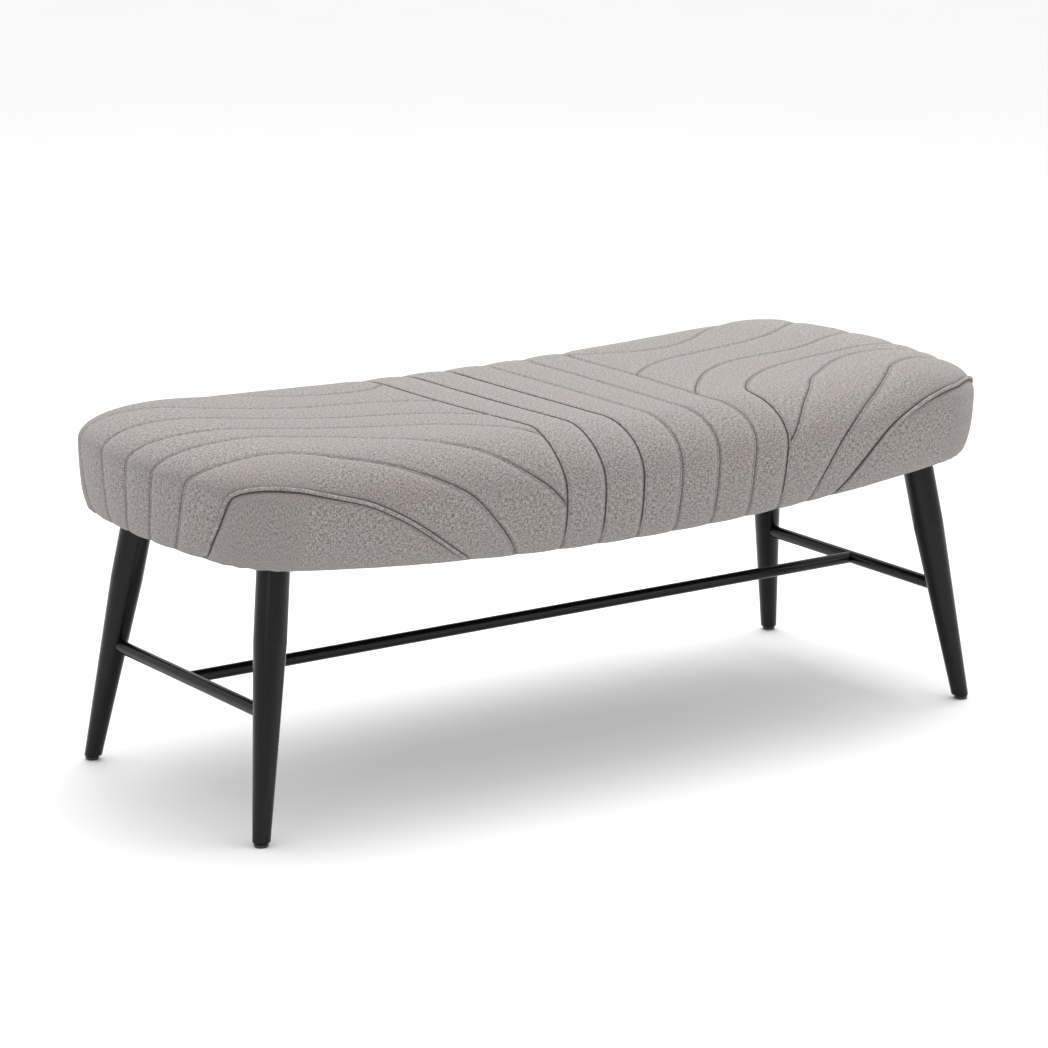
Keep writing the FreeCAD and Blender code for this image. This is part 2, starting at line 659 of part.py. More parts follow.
for corner, blank in block_blanks.items():
    piece("corner_block_" + corner, boolean("Cut", "corner_block_" + corner, blank, block_screw_group))
for name, blank in rails.items():
    if name.startswith("cross"):
        piece(name, blank)
    else:
        drilled = boolean("Cut", name + "_drilled", blank, block_screw_group)
        piece(name, boolean("Cut", name, drilled, deck_screw_group))
piece("seat_deck", boolean("Cut", "seat_deck", deck_blank, deck_screw_group))

# Dust cover: thin cloth under the frame, holed for the legs.
CLOTH_X = "(%s - Sizes.cloth_setback)" % FRAME_X
CLOTH_Y = "(%s - Sizes.cloth_setback)" % FRAME_Y
cloth_outline = outline("cloth_outline", CLOTH_X, CLOTH_Y, "Sizes.frame_corner_radius")
above_cloth_high = swept("above_cloth_high", "(-Sizes.joint_gap)")
above_cloth_low = swept("above_cloth_low", "(-Sizes.joint_gap - Sizes.cloth_thickness)")
cloth_over = boolean("Common", "cloth_over", cloth_outline, above_cloth_low)
cloth_sheet = boolean("Cut", "cloth_sheet", cloth_over, above_cloth_high)
leg_holes = []
for corner, sx, sy in CORNERS:
    hole = bound("Part::Cylinder", "cloth_hole_" + corner, {
        "Radius": "Sizes.leg_diameter / 2 + Sizes.leg_hole_gap", "Height": "2 * Sizes.leg_diameter"})
    leg_holes.append(placed(hole, leg_place(sx, sy, leg_length - size("leg_diameter"))))
piece("dust_cover", boolean("Cut", "dust_cover", cloth_sheet, fused("cloth_holes", leg_holes)))


def staple(x, y, drop, along_x):
    """wire staple lying on the sweep, a drop below the hem, its legs up"""
    wire = size("staple_wire")
    crown = size("staple_crown")
    made = Part.makeBox(crown, wire, wire / 2, vector(-crown / 2, -wire / 2, -wire / 2))
    for end in (-1, 1):
        place = vector(end * (crown - wire) / 2 - wire / 2, -wire / 2, -wire / 2)
        made = made.fuse(Part.makeBox(wire, wire, size("staple_leg"), place))
    tilt = FreeCAD.Rotation(vector(0, 1, 0), -math.degrees(math.asin(x / size("hem_sweep_radius"))))
    turn = tilt if along_x else tilt.multiply(FreeCAD.Rotation(vector(0, 0, 1), 90))
    made.Placement = FreeCAD.Placement(vector(x, y, hem_z(x) - drop), turn)
    return made


def staple_row(inset, drop, shift):
    """staples round the frame's underside, an inset inside its outline"""
    row = []
    reach_x = frame_x - size("frame_corner_radius") - size("rail_thickness")
    reach_y = frame_y - size("rail_thickness") - size("block_width")
    long_count = int(size("staples_per_side"))
    short_count = int(size("staples_per_end"))
    for sign in (-1, 1):
        for number in range(long_count):
            x = -reach_x + 2 * reach_x * (number + shift) / long_count
            row.append(staple(x, sign * (frame_y - inset), drop, True))
        for number in range(short_count):
            y = -reach_y + 2 * reach_y * (number + shift) / short_count
            row.append(staple(sign * (frame_x - inset), y, drop, False))
    return row


shaped("hem_staples", Part.makeCompound(staple_row(size("hem_staple_inset"), 0.0, 0.5)))
cloth_drop = size("cloth_thickness") + 1.5 * size("joint_gap")
shaped("cloth_staples", Part.makeCompound(staple_row(size("cloth_staple_inset"), cloth_drop, 0.5)))

# Stretchers: a round rod between each front and back leg and a long rod tenoned into both.
side_rods = {side: side_rod("rod_" + side, side, sx, "0", side_half) for side, sx in SIDES}
tenon_half = side_stretcher_x - size("side_stretcher_diameter") / 2 + size("tenon_length")
tenon_hole = cross_rod("tenon_hole", "(Sizes.tenon_diameter + Sizes.joint_gap) / 2",
                       tenon_half + size("joint_gap"))
for side, rod in side_rods.items():
    piece("side_stretcher_" + side, boolean("Cut", "side_stretcher_" + side, rod, tenon_hole))
long_blank = cross_rod("long_blank", "Sizes.long_stretcher_diameter / 2", side_stretcher_x)
tenons = cross_rod("tenons", "Sizes.tenon_diameter / 2", tenon_half)
clear_rods = fused("clear_rods", [side_rod("clear_rod_" + side, side, sx, "Sizes.joint_gap", side_half)
                                  for side, sx in SIDES])
coped = boolean("Cut", "long_coped", long_blank, clear_rods)
piece("long_stretcher", fused("long_stretcher", [coped, tenons]))

# Levelling feet: a threaded sleeve in each leg end and a screw in pad whose collar stops against it.
for corner, sx, sy in CORNERS:
    under_leg = ("%d * Sizes.foot_spacing_long / 2" % sx, "%d * Sizes.foot_spacing_short / 2" % sy)
    sleeve = bound("Part::Cylinder", "sleeve_" + corner, {
        "Radius": "Sizes.insert_diameter / 2", "Height": "Sizes.insert_length"},
        under_leg + ("Sizes.leg_end_height",))
    sleeve_bore = bound("Part::Cylinder", "sleeve_bore_" + corner, {
        "Radius": "Sizes.stem_diameter / 2 + Sizes.stem_gap", "Height": "2 * Sizes.insert_length"},
        under_leg + ("0",))
    piece("foot_insert_" + corner, boolean("Cut", "foot_insert_" + corner, sleeve, sleeve_bore))

    foot = doc.addObject("PartDesign::Body", "leveller_" + corner)
    stages = (
        ("chamfer", "Cone", {"Radius1": "Sizes.pad_diameter / 2 - Sizes.pad_chamfer",
                             "Radius2": "Sizes.pad_diameter / 2", "Height": "Sizes.pad_chamfer"}, "0"),
        ("pad", "Cylinder", {"Radius": "Sizes.pad_diameter / 2",
                             "Height": "Sizes.pad_thickness - Sizes.pad_chamfer"}, "Sizes.pad_chamfer"),
        ("collar", "Cylinder", {"Radius": "Sizes.collar_diameter / 2",
                                "Height": "Sizes.leg_end_height - Sizes.joint_gap - Sizes.pad_thickness"},
         "Sizes.pad_thickness"),
        ("stem", "Cylinder", {"Radius": "Sizes.stem_diameter / 2",
                              "Height": "Sizes.joint_gap + Sizes.stem_length"},
         "Sizes.leg_end_height - Sizes.joint_gap"),
    )
    for stage, kind, sizes, lift in stages:
        solid = foot.newObject("PartDesign::Additive" + kind, stage + "_" + corner)
        for prop, words in sizes.items():
            solid.setExpression(prop, words)
        solid.setExpression("Placement.Base.z", lift)
    foot.setExpression("Placement.Base.x", under_leg[0])
    foot.setExpression("Placement.Base.y", under_leg[1])
    piece("leveller_" + corner, foot)

# Check every object and write one file for each piece.
doc.recompute()
for made in doc.Objects:
    if "Invalid" in made.State or "Error" in made.State:
        raise RuntimeError("%s did not compute: %s" % (made.Name, made.State))
for node, made in pieces.items():
    if made.Shape.isNull() or not made.Shape.isValid() or not made.Shape.Solids:
        raise RuntimeError("%s has no valid solid" % node)
for node, made in pieces.items():
    made.Shape.exportStep("parts/%s.step" % node)
    print("%-26s %2d solids %12.1f mm3" % (node, len(made.Shape.Solids), made.Shape.Volume))
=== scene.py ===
# Upholstered bench: the looks of its channel stitched seat, black legs, frame and fittings.
import math

import bmesh
import bpy
import numpy as np
from mathutils import Matrix, Vector


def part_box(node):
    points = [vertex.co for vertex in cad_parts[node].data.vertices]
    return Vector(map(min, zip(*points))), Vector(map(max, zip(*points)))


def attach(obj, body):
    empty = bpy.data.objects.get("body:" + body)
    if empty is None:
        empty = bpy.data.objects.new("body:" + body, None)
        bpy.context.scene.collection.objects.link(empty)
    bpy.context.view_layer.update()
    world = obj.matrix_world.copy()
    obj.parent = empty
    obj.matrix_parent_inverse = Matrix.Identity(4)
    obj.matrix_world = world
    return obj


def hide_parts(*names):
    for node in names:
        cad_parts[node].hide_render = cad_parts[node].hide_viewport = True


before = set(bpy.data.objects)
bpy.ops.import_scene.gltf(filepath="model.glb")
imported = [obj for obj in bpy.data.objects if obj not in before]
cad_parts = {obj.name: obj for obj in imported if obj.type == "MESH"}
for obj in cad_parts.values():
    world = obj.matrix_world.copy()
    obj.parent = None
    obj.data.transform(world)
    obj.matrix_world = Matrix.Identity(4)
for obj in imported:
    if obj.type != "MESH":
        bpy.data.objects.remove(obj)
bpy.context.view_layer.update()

bl_info = {
    "name": "Upholstered bench",
    "version": (1, 0, 0),
    "blender": (4, 5, 0),
    "location": "3D View > Sidebar > Bench",
    "description": "Builds the seat, fittings, materials and studio of a channel stitched bench",
    "category": "Object",
}

ROOT = "bench"
TURNED = ("leg_front", "leg_back", "side_stretcher", "long_stretcher", "leveller")

# Seat form in metres, as the part's source has it.
SEAT_LENGTH = 1.215
SEAT_WIDTH = 0.501
SIDE_BOW = 12.4
END_BOW = 0.707
CORNER_AT_HEM = 0.080
CORNER_AT_WIDEST = 0.090
CORNER_AT_TOP = 0.050
HEM_HEIGHT = 0.3093
HEM_SWEEP = 4.545
WIDEST_ABOVE_HEM = 0.086
TOP_HEIGHT = 0.4605
TOP_SWEEP = 7.576
ROUNDING_SIDE = 0.091
ROUNDING_END = 0.138
TUCK_SIDE = 0.029
TUCK_END = 0.009
HEM_WIDTH_SIDE = 0.030
HEM_WIDTH_END = 0.055
HEM_CORNER = 0.024
COVER = 0.006
DECK_HIGH = 0.0721
BAND_INSIDE_X = 0.5553
BAND_INSIDE_Y = 0.2043
CLOTH_CORNER = 0.03
SPINE_REACH = 0.30

# Relief of the stitched cloth in metres, by the distance to the nearest seam.
SEAM_REACH = 0.034
QUICK_RISE = 0.72
HEM_SHARE = 0.35
HEM_FADE = 0.035
PUCKER = 0.00022
PUCKER_REACH = 0.009
STITCH_PITCH = 0.0135
CALM_REACH = 0.012
# Reach of the painted shade in the seams, and place and reach of the painted highlight beside them.
SHADE_REACH = 0.0026
PAINTED_HIGHLIGHT_AWAY = 0.006
PAINTED_HIGHLIGHT_REACH = 0.004
ABOVE_HEM = 0.0045

# Shares of the way from the hem in to the cover's opening.
HEM_STEPS = (0.08, 0.2, 0.4, 0.6, 0.8, 1.0)

# Flat pattern of the cover: the top, then one band for the rounding and one for the side below it, which
# are in metres. The card on which the seams are drawn is in millimetres, and so is all that follows.
ROUNDING_BAND = 0.135
SIDE_BAND = 0.100
CARD_HALF_LENGTH = 704.5
CARD_HALF_WIDTH = 394.5
HEM = CARD_HALF_WIDTH
SEAM_TAIL = 12.0

# Straight seams: for places along the card's y, how far their pitch has gone from the back's to the
# front's, and the middle of the group.
STRAIGHT_SEAMS = 6
PITCH_BACK = 61.0
PITCH_FRONT = 49.0
STATIONS = ((HEM, 0.0, 5.0), (175.0, 0.0, 6.0), (20.0, 0.0, 10.0), (-190.0, 0.5, 16.0),
            (-300.0, 1.0, 15.0), (-HEM, 1.0, 17.0))

# Waves, from the back to the front.
LEFT_WAVES = (
    ((-148, 262), (-200, 246), (-262, 250), (-330, 285), (-378, 335), (-395, HEM)),
    ((-146, 150), (-185, 126), (-250, 125), (-310, 138), (-360, 170), (-405, 235), (-430, 305), (-440, HEM)),
    ((-140, 20), (-180, 42), (-250, 60), (-325, 65), (-390, 85), (-455, 115), (-520, 150), (-600, 146),
     (-704, 128)),
    ((-130, -85), (-190, -38), (-260, -18), (-330, -5), (-395, 16), (-455, 43), (-520, 68), (-600, 70),
     (-704, 75)),
    ((-121, -195), (-150, -160), (-182, -126), (-228, -96), (-295, -78), (-362, -60), (-430, -38),
     (-500, -8), (-550, 10), (-615, 17), (-704, 28)),
    ((-110, -310), (-135, -283), (-200, -217), (-270, -175), (-335, -140), (-390, -108), (-455, -82),
     (-520, -50), (-585, -33), (-704, -24)),
    ((-155, -HEM), (-174, -345), (-205, -308), (-245, -270), (-285, -242), (-335, -215), (-410, -187),
     (-460, -163), (-525, -112), (-600, -82), (-704, -78)),
)
RIGHT_WAVES = (
    ((157, 262), (210, 246), (272, 250), (340, 285), (388, 335), (405, HEM)),
    ((158, 168), (205, 145), (265, 120), (320, 124), (376, 152), (420, 215), (445, 300), (455, HEM)),
    ((163, 8), (200, 38), (250, 60), (315, 66), (365, 70), (415, 75), (470, 92), (535, 126), (605, 136),
     (704, 128)),
    ((158, -130), (175, -106), (205, -72), (252, -30), (305, -6), (345, -4), (395, -8), (450, -2), (520, 32),
     (600, 62), (704, 75)),
    ((182, -HEM), (182, -310), (190, -240), (207, -182), (230, -142), (262, -108), (305, -80), (350, -65),
     (400, -60), (470, -58), (530, -36), (610, 8), (704, 28)),
    ((184, -285), (210, -247), (240, -215), (290, -180), (350, -140), (415, -97), (470, -84), (530, -76),
     (610, -40), (704, -24)),
    ((220, -HEM), (233, -340), (256, -300), (292, -256), (335, -225), (395, -190), (455, -158), (515, -118),
     (600, -84), (704, -78)),
)
PIPED_SEAMS = {
    "left": ((-205, -HEM), (-240, -352), (-285, -318), (-325, -298), (-368, -280), (-415, -262), (-470, -245),
             (-525, -212), (-590, -158), (-640, -130), (-704, -135)),
    "right": ((252, -HEM), (275, -348), (310, -310), (345, -285), (390, -260), (432, -250), (470, -240),
              (525, -205), (590, -156), (640, -131), (704, -135)),
}


# Seat surface. Level 0 is the hem, 1 the widest line and 2 the edge of the flat top.


def hem_z(x):
    """the hem's circular sweep: its lowest point in the middle"""
    return HEM_HEIGHT + HEM_SWEEP - np.sqrt(HEM_SWEEP ** 2 - x ** 2)


def top_z(x):
    """the top's circular sweep"""
    return TOP_HEIGHT + TOP_SWEEP - np.sqrt(TOP_SWEEP ** 2 - x ** 2)


def quarter_arcs(level, inset=0.0):
    """side, corner and end arc of a quarter of the ring at each level, tangent to each other: centre x,
    centre y and radius, then the angles where the corner arc meets the side and the end"""
    tucked = 1 - np.sin(np.pi / 2 * np.clip(level, -1, 1))
    rounded = 1 - np.cos(np.pi / 2 * np.clip(level - 1, 0, 1))
    half_width = SEAT_WIDTH / 2 - inset - TUCK_SIDE * tucked - (ROUNDING_SIDE - inset) * rounded
    half_length = SEAT_LENGTH / 2 - inset - TUCK_END * tucked - (ROUNDING_END - inset) * rounded
    corner = CORNER_AT_WIDEST - inset + (CORNER_AT_HEM - CORNER_AT_WIDEST) * tucked
    corner = corner + (CORNER_AT_TOP + inset - CORNER_AT_WIDEST) * rounded
    side_y = half_width - SIDE_BOW
    end_x = half_length - END_BOW
    to_side = SIDE_BOW - corner
    to_end = END_BOW - corner
    apart = np.hypot(end_x, side_y)
    along = (to_side ** 2 - to_end ** 2 + apart ** 2) / (2 * apart)
    off = np.sqrt(to_side ** 2 - along ** 2)
    ux = end_x / apart
    uy = -side_y / apart
    first = (along * ux - off * uy, side_y + along * uy + off * ux)
    second = (along * ux + off * uy, side_y + along * uy - off * ux)
    outer = first[0] + first[1] > second[0] + second[1]
    corner_x = np.where(outer, first[0], second[0])
    corner_y = np.where(outer, first[1], second[1])
    side_angle = np.arctan2(corner_y - side_y, corner_x)
    end_angle = np.arctan2(corner_y, corner_x - end_x)
    return side_y, (corner_x, corner_y, corner), end_x, side_angle, end_angle


def level_z(level, x, inset=0.0):
    """height at a level: a quarter ellipse from the hem to the widest line and one from there to the top"""
    hem = hem_z(x) + inset
    widest = hem_z(x) + WIDEST_ABOVE_HEM
    rise = 1 - np.cos(np.pi / 2 * np.clip(level, -1, 1))
    crown = np.sin(np.pi / 2 * np.clip(level - 1, 0, 1))
    return hem + (widest - hem) * rise + (top_z(x) - inset - widest) * crown


def on_cover(card):
    """points of the cover under points of the card, given as rows of x and y in card millimetres"""
    stretch_x = (SEAT_LENGTH / 2 - ROUNDING_END + ROUNDING_BAND + SIDE_BAND) / CARD_HALF_LENGTH
    stretch_y = (SEAT_WIDTH / 2 - ROUNDING_SIDE + ROUNDING_BAND + SIDE_BAND) / CARD_HALF_WIDTH
    x = np.abs(card[:, 0]) * stretch_x
    y = np.abs(card[:, 1]) * stretch_y
    side_y, corner, end_x, side_angle, end_angle = quarter_arcs(np.array(2.0))
    to_side = np.arctan2(y - side_y, x)
    to_end = np.arctan2(y, x - end_x)
    over_side = np.hypot(x, y - side_y) - SIDE_BOW
    over_end = np.hypot(x - end_x, y) - END_BOW
    over_corner = np.hypot(x - corner[0], y - corner[1]) - corner[2]
    at_corner = (to_side < side_angle) & (to_end > end_angle)
    at_side = ~at_corner & (to_side >= side_angle) & ~((to_end <= end_angle) & (over_end > over_side))
    over = np.where(at_corner, over_corner, np.where(at_side, over_side, over_end))
    below = 1 - (over - ROUNDING_BAND) / SIDE_BAND
    level = np.clip(np.where(over < ROUNDING_BAND, 2 - over / ROUNDING_BAND, below), -0.5, 2)
    low_side_y, low_corner, low_end_x, low_side_angle, low_end_angle = quarter_arcs(level)
    turn = np.arctan2(y - corner[1], x - corner[0])
    share = (turn - end_angle) / (side_angle - end_angle)
    corner_turn = low_end_angle + share * (low_side_angle - low_end_angle)
    share = (np.pi / 2 - to_side) / (np.pi / 2 - side_angle)
    side_turn = np.pi / 2 - share * (np.pi / 2 - low_side_angle)
    end_turn = to_end / end_angle * low_end_angle
    px = np.where(at_corner, low_corner[0] + low_corner[2] * np.cos(corner_turn),
                  np.where(at_side, SIDE_BOW * np.cos(side_turn), low_end_x + END_BOW * np.cos(end_turn)))
    py = np.where(at_corner, low_corner[1] + low_corner[2] * np.sin(corner_turn),
                  np.where(at_side, low_side_y + SIDE_BOW * np.sin(side_turn), END_BOW * np.sin(end_turn)))
    flat = over <= 0
    px = np.where(flat, x, px)
    py = np.where(flat, y, py)
    pz = np.where(flat, top_z(x), level_z(level, px))
    return np.stack([np.sign(card[:, 0]) * px, np.sign(card[:, 1]) * py, pz], axis=1)


def shares(pitch):
    """where a quarter ring's points lie: which arc each is on, and how far along it from the side's middle
    to the end's middle"""
    counts = [max(2, round(length / pitch)) for length in (0.515, 0.115, 0.165)]
    which = np.repeat([0, 1, 2], counts)
    along = np.concatenate([np.arange(n) / n for n in counts])
    return np.append(which, 2), np.append(along, 1.0)


def mirrored(quarter):
    """closed ring, anticlockwise from the middle of the front, made of a quarter and its mirror images"""
    front_right = quarter * (1, -1)
    back_left = quarter * (-1, 1)
    return np.concatenate([front_right, quarter[-2::-1], back_left[1:], (quarter * (-1, -1))[-2:0:-1]])


def ring_xy(level, split, inset=0.0):
    """plan of the ring at a level: points on its three arcs, spaced by angle"""
    which, along = split
    side_y, corner, end_x, side_angle, end_angle = quarter_arcs(np.array(float(level)), inset)
    side_turn = np.pi / 2 + (side_angle - np.pi / 2) * along
    corner_turn = side_angle + (end_angle - side_angle) * along
    end_turn = end_angle * (1 - along)
    x = np.choose(which, [SIDE_BOW * np.cos(side_turn), corner[0] + corner[2] * np.cos(corner_turn),
                          end_x + END_BOW * np.cos(end_turn)])
    y = np.choose(which, [side_y + SIDE_BOW * np.sin(side_turn), corner[1] + corner[2] * np.sin(corner_turn),
                          END_BOW * np.sin(end_turn)])
    return mirrored(np.stack([x, y], axis=1))


def outward_xy(split):
    """direction away from the top's edge in plan, for each point of a ring"""
    which, along = split
    side_angle, end_angle = quarter_arcs(np.array(2.0))[3:]
    turn = np.choose(which, [np.pi / 2 + (side_angle - np.pi / 2) * along,
                             side_angle + (end_angle - side_angle) * along, end_angle * (1 - along)])
    return mirrored(np.stack([np.cos(turn), np.sin(turn)], axis=1))


def frame_xy(half_x, half_y, radius, split):
    """plan of a rounded rectangle, with a point for each point of a ring"""
    which, along = split
    turn = np.pi / 2 * (1 - along)
    x = np.choose(which, [(half_x - radius) * along, half_x - radius + radius * np.cos(turn),
                          half_x + 0 * along])
    y = np.choose(which, [half_y + 0 * along, half_y - radius + radius * np.sin(turn),
                          (half_y - radius) * (1 - along)])
    return mirrored(np.stack([x, y], axis=1))


def level_row(level, split, inset=0.0):
    """points of the whole ring at a level"""
    plan = ring_xy(level, split, inset)
    return np.column_stack([plan, level_z(level, plan[:, 0], inset)])


def lifted(plan, lift=0.0):
    """points of a plan at a height above the hem"""
    return np.column_stack([plan, hem_z(plan[:, 0]) + lift])


def spine_xy(plan):
    """point of the line along the middle of the seat that each point of the top's edge is joined to"""
    return np.column_stack([np.clip(plan[:, 0], -SPINE_REACH, SPINE_REACH), 0 * plan[:, 1]])


def cap_rows(plan, count, height):
    """rows from the spine, left out at its own place, outwards to a ring, at a height that depends on x"""
    spine = spine_xy(plan)
    rows = []
    for share in np.arange(count) / count:
        flat = spine + (plan - spine) * share
        rows.append(np.column_stack([flat, height(flat[:, 0])]))
    return rows


# Meshes.


def add_object(name, mesh, material):
    """puts a mesh in the scene, smooth, with its material, on the root body"""
    made = bpy.data.objects.new(name, mesh)
    bpy.context.scene.collection.objects.link(made)
    mesh.materials.append(material)
    mesh.polygons.foreach_set("use_smooth", np.ones(len(mesh.polygons), dtype=bool))
    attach(made, ROOT)
    return made


def merged(mesh, distance=2e-6):
    """points that lie on each other become one, and faces that shrink to nothing go"""
    work = bmesh.new()
    work.from_mesh(mesh)
    bmesh.ops.remove_doubles(work, verts=work.verts, dist=distance)
    bmesh.ops.dissolve_degenerate(work, edges=work.edges, dist=distance / 2)
    work.to_mesh(mesh)
    work.free()


def grid_mesh(name, points, closed_rows=False, maps=None, values=None):
    """mesh on a grid of rows by columns whose columns close on themselves: each quad joins two
    neighbours of a row to the same two of the next row. maps gives each point its place on the cloth, and
    values its numbers for the materials"""
    rows, columns = points.shape[:2]
    index = np.arange(rows * columns).reshape(rows, columns)
    if closed_rows:
        index = np.vstack([index, index[:1]])
    upper = index[:-1]
    lower = index[1:]
    quads = np.stack([upper, lower, np.roll(lower, -1, axis=1), np.roll(upper, -1, axis=1)], axis=-1)
    quads = quads.reshape(-1, 4)
    mesh = bpy.data.meshes.new(name)
    mesh.vertices.add(rows * columns)
    mesh.vertices.foreach_set("co", points.reshape(-1, 3).astype(np.float32).ravel())
    mesh.loops.add(quads.size)
    mesh.loops.foreach_set("vertex_index", quads.ravel().astype(np.int32))
    mesh.polygons.add(len(quads))
    mesh.polygons.foreach_set("loop_start", np.arange(0, quads.size, 4, dtype=np.int32))
    mesh.update(calc_edges=True)
    if maps is not None:
        corners = maps.reshape(-1, 2)[quads.ravel()].astype(np.float32)
        mesh.uv_layers.new(name="Cloth").data.foreach_set("uv", corners.ravel())
    for title, number in (values or {}).items():
        layer = mesh.attributes.new(title, "FLOAT", "POINT")
        layer.data.foreach_set("value", number.astype(np.float32).ravel())
    merged(mesh)
    mesh.validate()
    return mesh


def smooth_route(points, spacing=3.0):
    """points on the curve through four neighbours at a time, weighted by the usual cubic, a few
    millimetres apart on the card"""
    given = np.array([points[0], *points, points[-1]], dtype=float)
    route = []
    for a, b, c, d in zip(given, given[1:], given[2:], given[3:]):
        parts = max(1, round(np.linalg.norm(c - b) / spacing))
        u = (np.arange(parts) / parts)[:, None]
        route.append(0.5 * (2 * b + (c - a) * u + (2 * a - 5 * b + 4 * c - d) * u ** 2
                            + (3 * b - a - 3 * c + d) * u ** 3))
    route.append(given[-1:])
    return np.concatenate(route)


def past_hem(points):
    """a seam's points, carried on a little way beyond each end that lies on the hem"""
    given = [np.array(point, dtype=float) for point in points]
    for end, inner, at in ((given[0], given[1], 0), (given[-1], given[-2], len(given))):
        if abs(end[1]) > HEM - 1 or abs(end[0]) > CARD_HALF_LENGTH - 2:
            given.insert(at, end + (end - inner) / np.linalg.norm(end - inner) * SEAM_TAIL)
    return given


def seam_frames(points):
    """a seam's places on the cover, with the way out of the cover and the way across the seam. The places
    are eased by averaging neighbours, then put back on the cover along its outward way"""
    card = smooth_route(past_hem(points))
    step = 1.5
    across_x = on_cover(card + (step, 0)) - on_cover(card - (step, 0))
    across_y = on_cover(card + (0, step)) - on_cover(card - (0, step))
    outward = np.cross(across_x, across_y)
    outward /= np.linalg.norm(outward, axis=1)[:, None]
    given = on_cover(card)
    places = given.copy()
    for _ in range(36):
        places[1:-1] = (places[:-2] + 2 * places[1:-1] + places[2:]) / 4
        outward[1:-1] = (outward[:-2] + 2 * outward[1:-1] + outward[2:]) / 4
    outward /= np.linalg.norm(outward, axis=1)[:, None]
    places -= ((places - given) * outward).sum(axis=1)[:, None] * outward
    along = np.gradient(places, axis=0)
    along /= np.linalg.norm(along, axis=1)[:, None]
    across = np.cross(along, outward)
    across /= np.linalg.norm(across, axis=1)[:, None]
    outward = np.cross(across, along)
    return places, outward, across


def straight_seam(number):
    """one of the seams across the middle, whose pitch and middle change from the back to the front"""
    place = number - (STRAIGHT_SEAMS - 1) / 2
    return [(middle + place * (PITCH_BACK + (PITCH_FRONT - PITCH_BACK) * share), y)
            for y, share, middle in STATIONS]


def plain_seams():
    return [straight_seam(number) for number in range(STRAIGHT_SEAMS)] + [*LEFT_WAVES, *RIGHT_WAVES]


def profile_tube(places, outward, across, sideways, lift, radius, sides):
    """a round profile carried along a path: each ring is the place moved across and outwards, then
    a circle in the plane of these two ways. Its ends are drawn in to a point"""
    turn = np.arange(sides) / sides * 2 * np.pi
    centre = places + across * sideways + outward * lift
    size = np.full(len(places), radius)
    round_off = np.minimum(1, np.arange(len(places)) / 2)
    size = size * np.sqrt(1 - (1 - round_off) ** 2) * np.sqrt(1 - (1 - round_off[::-1]) ** 2)
    wide = across[:, None] * np.cos(turn)[:, None] + outward[:, None] * np.sin(turn)[:, None]
    return centre[:, None] + wide * size[:, None, None]


def above_hem(points):
    """a seam's places and its ways outwards and across, without what runs on past the hem"""
    places, outward, across = seam_frames(points)
    kept = places[:, 2] > hem_z(places[:, 0]) + ABOVE_HEM
    return places[kept], outward[kept], across[kept]


def seam_field(points, lines, reach):
    """for each point, its distance to the nearest seam and the length along that seam, found a stretch of
    seam at a time among the points near it"""
    near = np.full(len(points), reach)
    length = np.zeros(len(points))
    for line in lines:
        run = np.concatenate([[0], np.cumsum(np.linalg.norm(np.diff(line, axis=0), axis=1))])
        for start in range(0, len(line) - 1, 16):
            part = line[start:start + 17]
            close = np.all((points > part.min(axis=0) - reach) & (points < part.max(axis=0) + reach), axis=1)
            which = np.nonzero(close)[0]
            if len(which) == 0:
                continue
            a = part[:-1][None]
            way = (part[1:] - part[:-1])[None]
            from_a = points[which][:, None] - a
            share = np.clip((from_a * way).sum(axis=2) / np.maximum((way ** 2).sum(axis=2), 1e-12), 0, 1)
            gap = np.linalg.norm(from_a - way * share[..., None], axis=2)
            best = gap.argmin(axis=1)
            found = gap[np.arange(len(which)), best]
            closer = found < near[which]
            near[which[closer]] = found[closer]
            length[which[closer]] = run[start + best[closer]]
    return near, length


def cover_rows(split):
    """rows of the cover from the spine out over the top, down to the hem, under it, up inside and back along
    the inner face to the spine, each with how far it lies beyond the top's edge on the flat pattern"""
    edge = ring_xy(2, split)
    rows = cap_rows(edge, 54, top_z)
    beyond = [None] * 54
    for level in np.concatenate([np.linspace(2, 1, 46)[:-1], np.linspace(1, 0, 36)]):
        rows.append(level_row(level, split))
        over = (2 - level) * ROUNDING_BAND
        beyond.append(over if level > 1 else ROUNDING_BAND + (1 - level) * SIDE_BAND)
    outer_count = len(rows)
    hem = rows[-1]
    opening = frame_xy(SEAT_LENGTH / 2 - TUCK_END - HEM_WIDTH_END,
                       SEAT_WIDTH / 2 - TUCK_SIDE - HEM_WIDTH_SIDE, HEM_CORNER, split)
    for share in HEM_STEPS:
        rows.append(lifted(hem[:, :2] + (opening - hem[:, :2]) * share))
        beyond.append(ROUNDING_BAND + SIDE_BAND + 0.04 * share)
    rows.append(lifted(opening, COVER))
    beyond.append(ROUNDING_BAND + SIDE_BAND + 0.046)
    rows.append(lifted((opening + ring_xy(0, split, COVER)) / 2, COVER))
    beyond.append(ROUNDING_BAND + SIDE_BAND + 0.06)
    for level in np.linspace(0, 2, 17):
        rows.append(level_row(level, split, COVER))
        beyond.append((2 - level) * ROUNDING_BAND)
    inner_edge = ring_xy(2, split, COVER)
    for row in cap_rows(inner_edge, 8, lambda x: top_z(x) - COVER)[::-1]:
        rows.append(row)
        beyond.append(None)
    return np.array(rows), beyond, outer_count


def cloth_map(rows, beyond, split):
    """place of each point on the flat cloth, in metres: the plan on top, and beyond its edge straight out"""
    edge = ring_xy(2, split)
    away = outward_xy(split)
    return np.array([row[:, :2] if over is None else edge + away * over for row, over in zip(rows, beyond)])


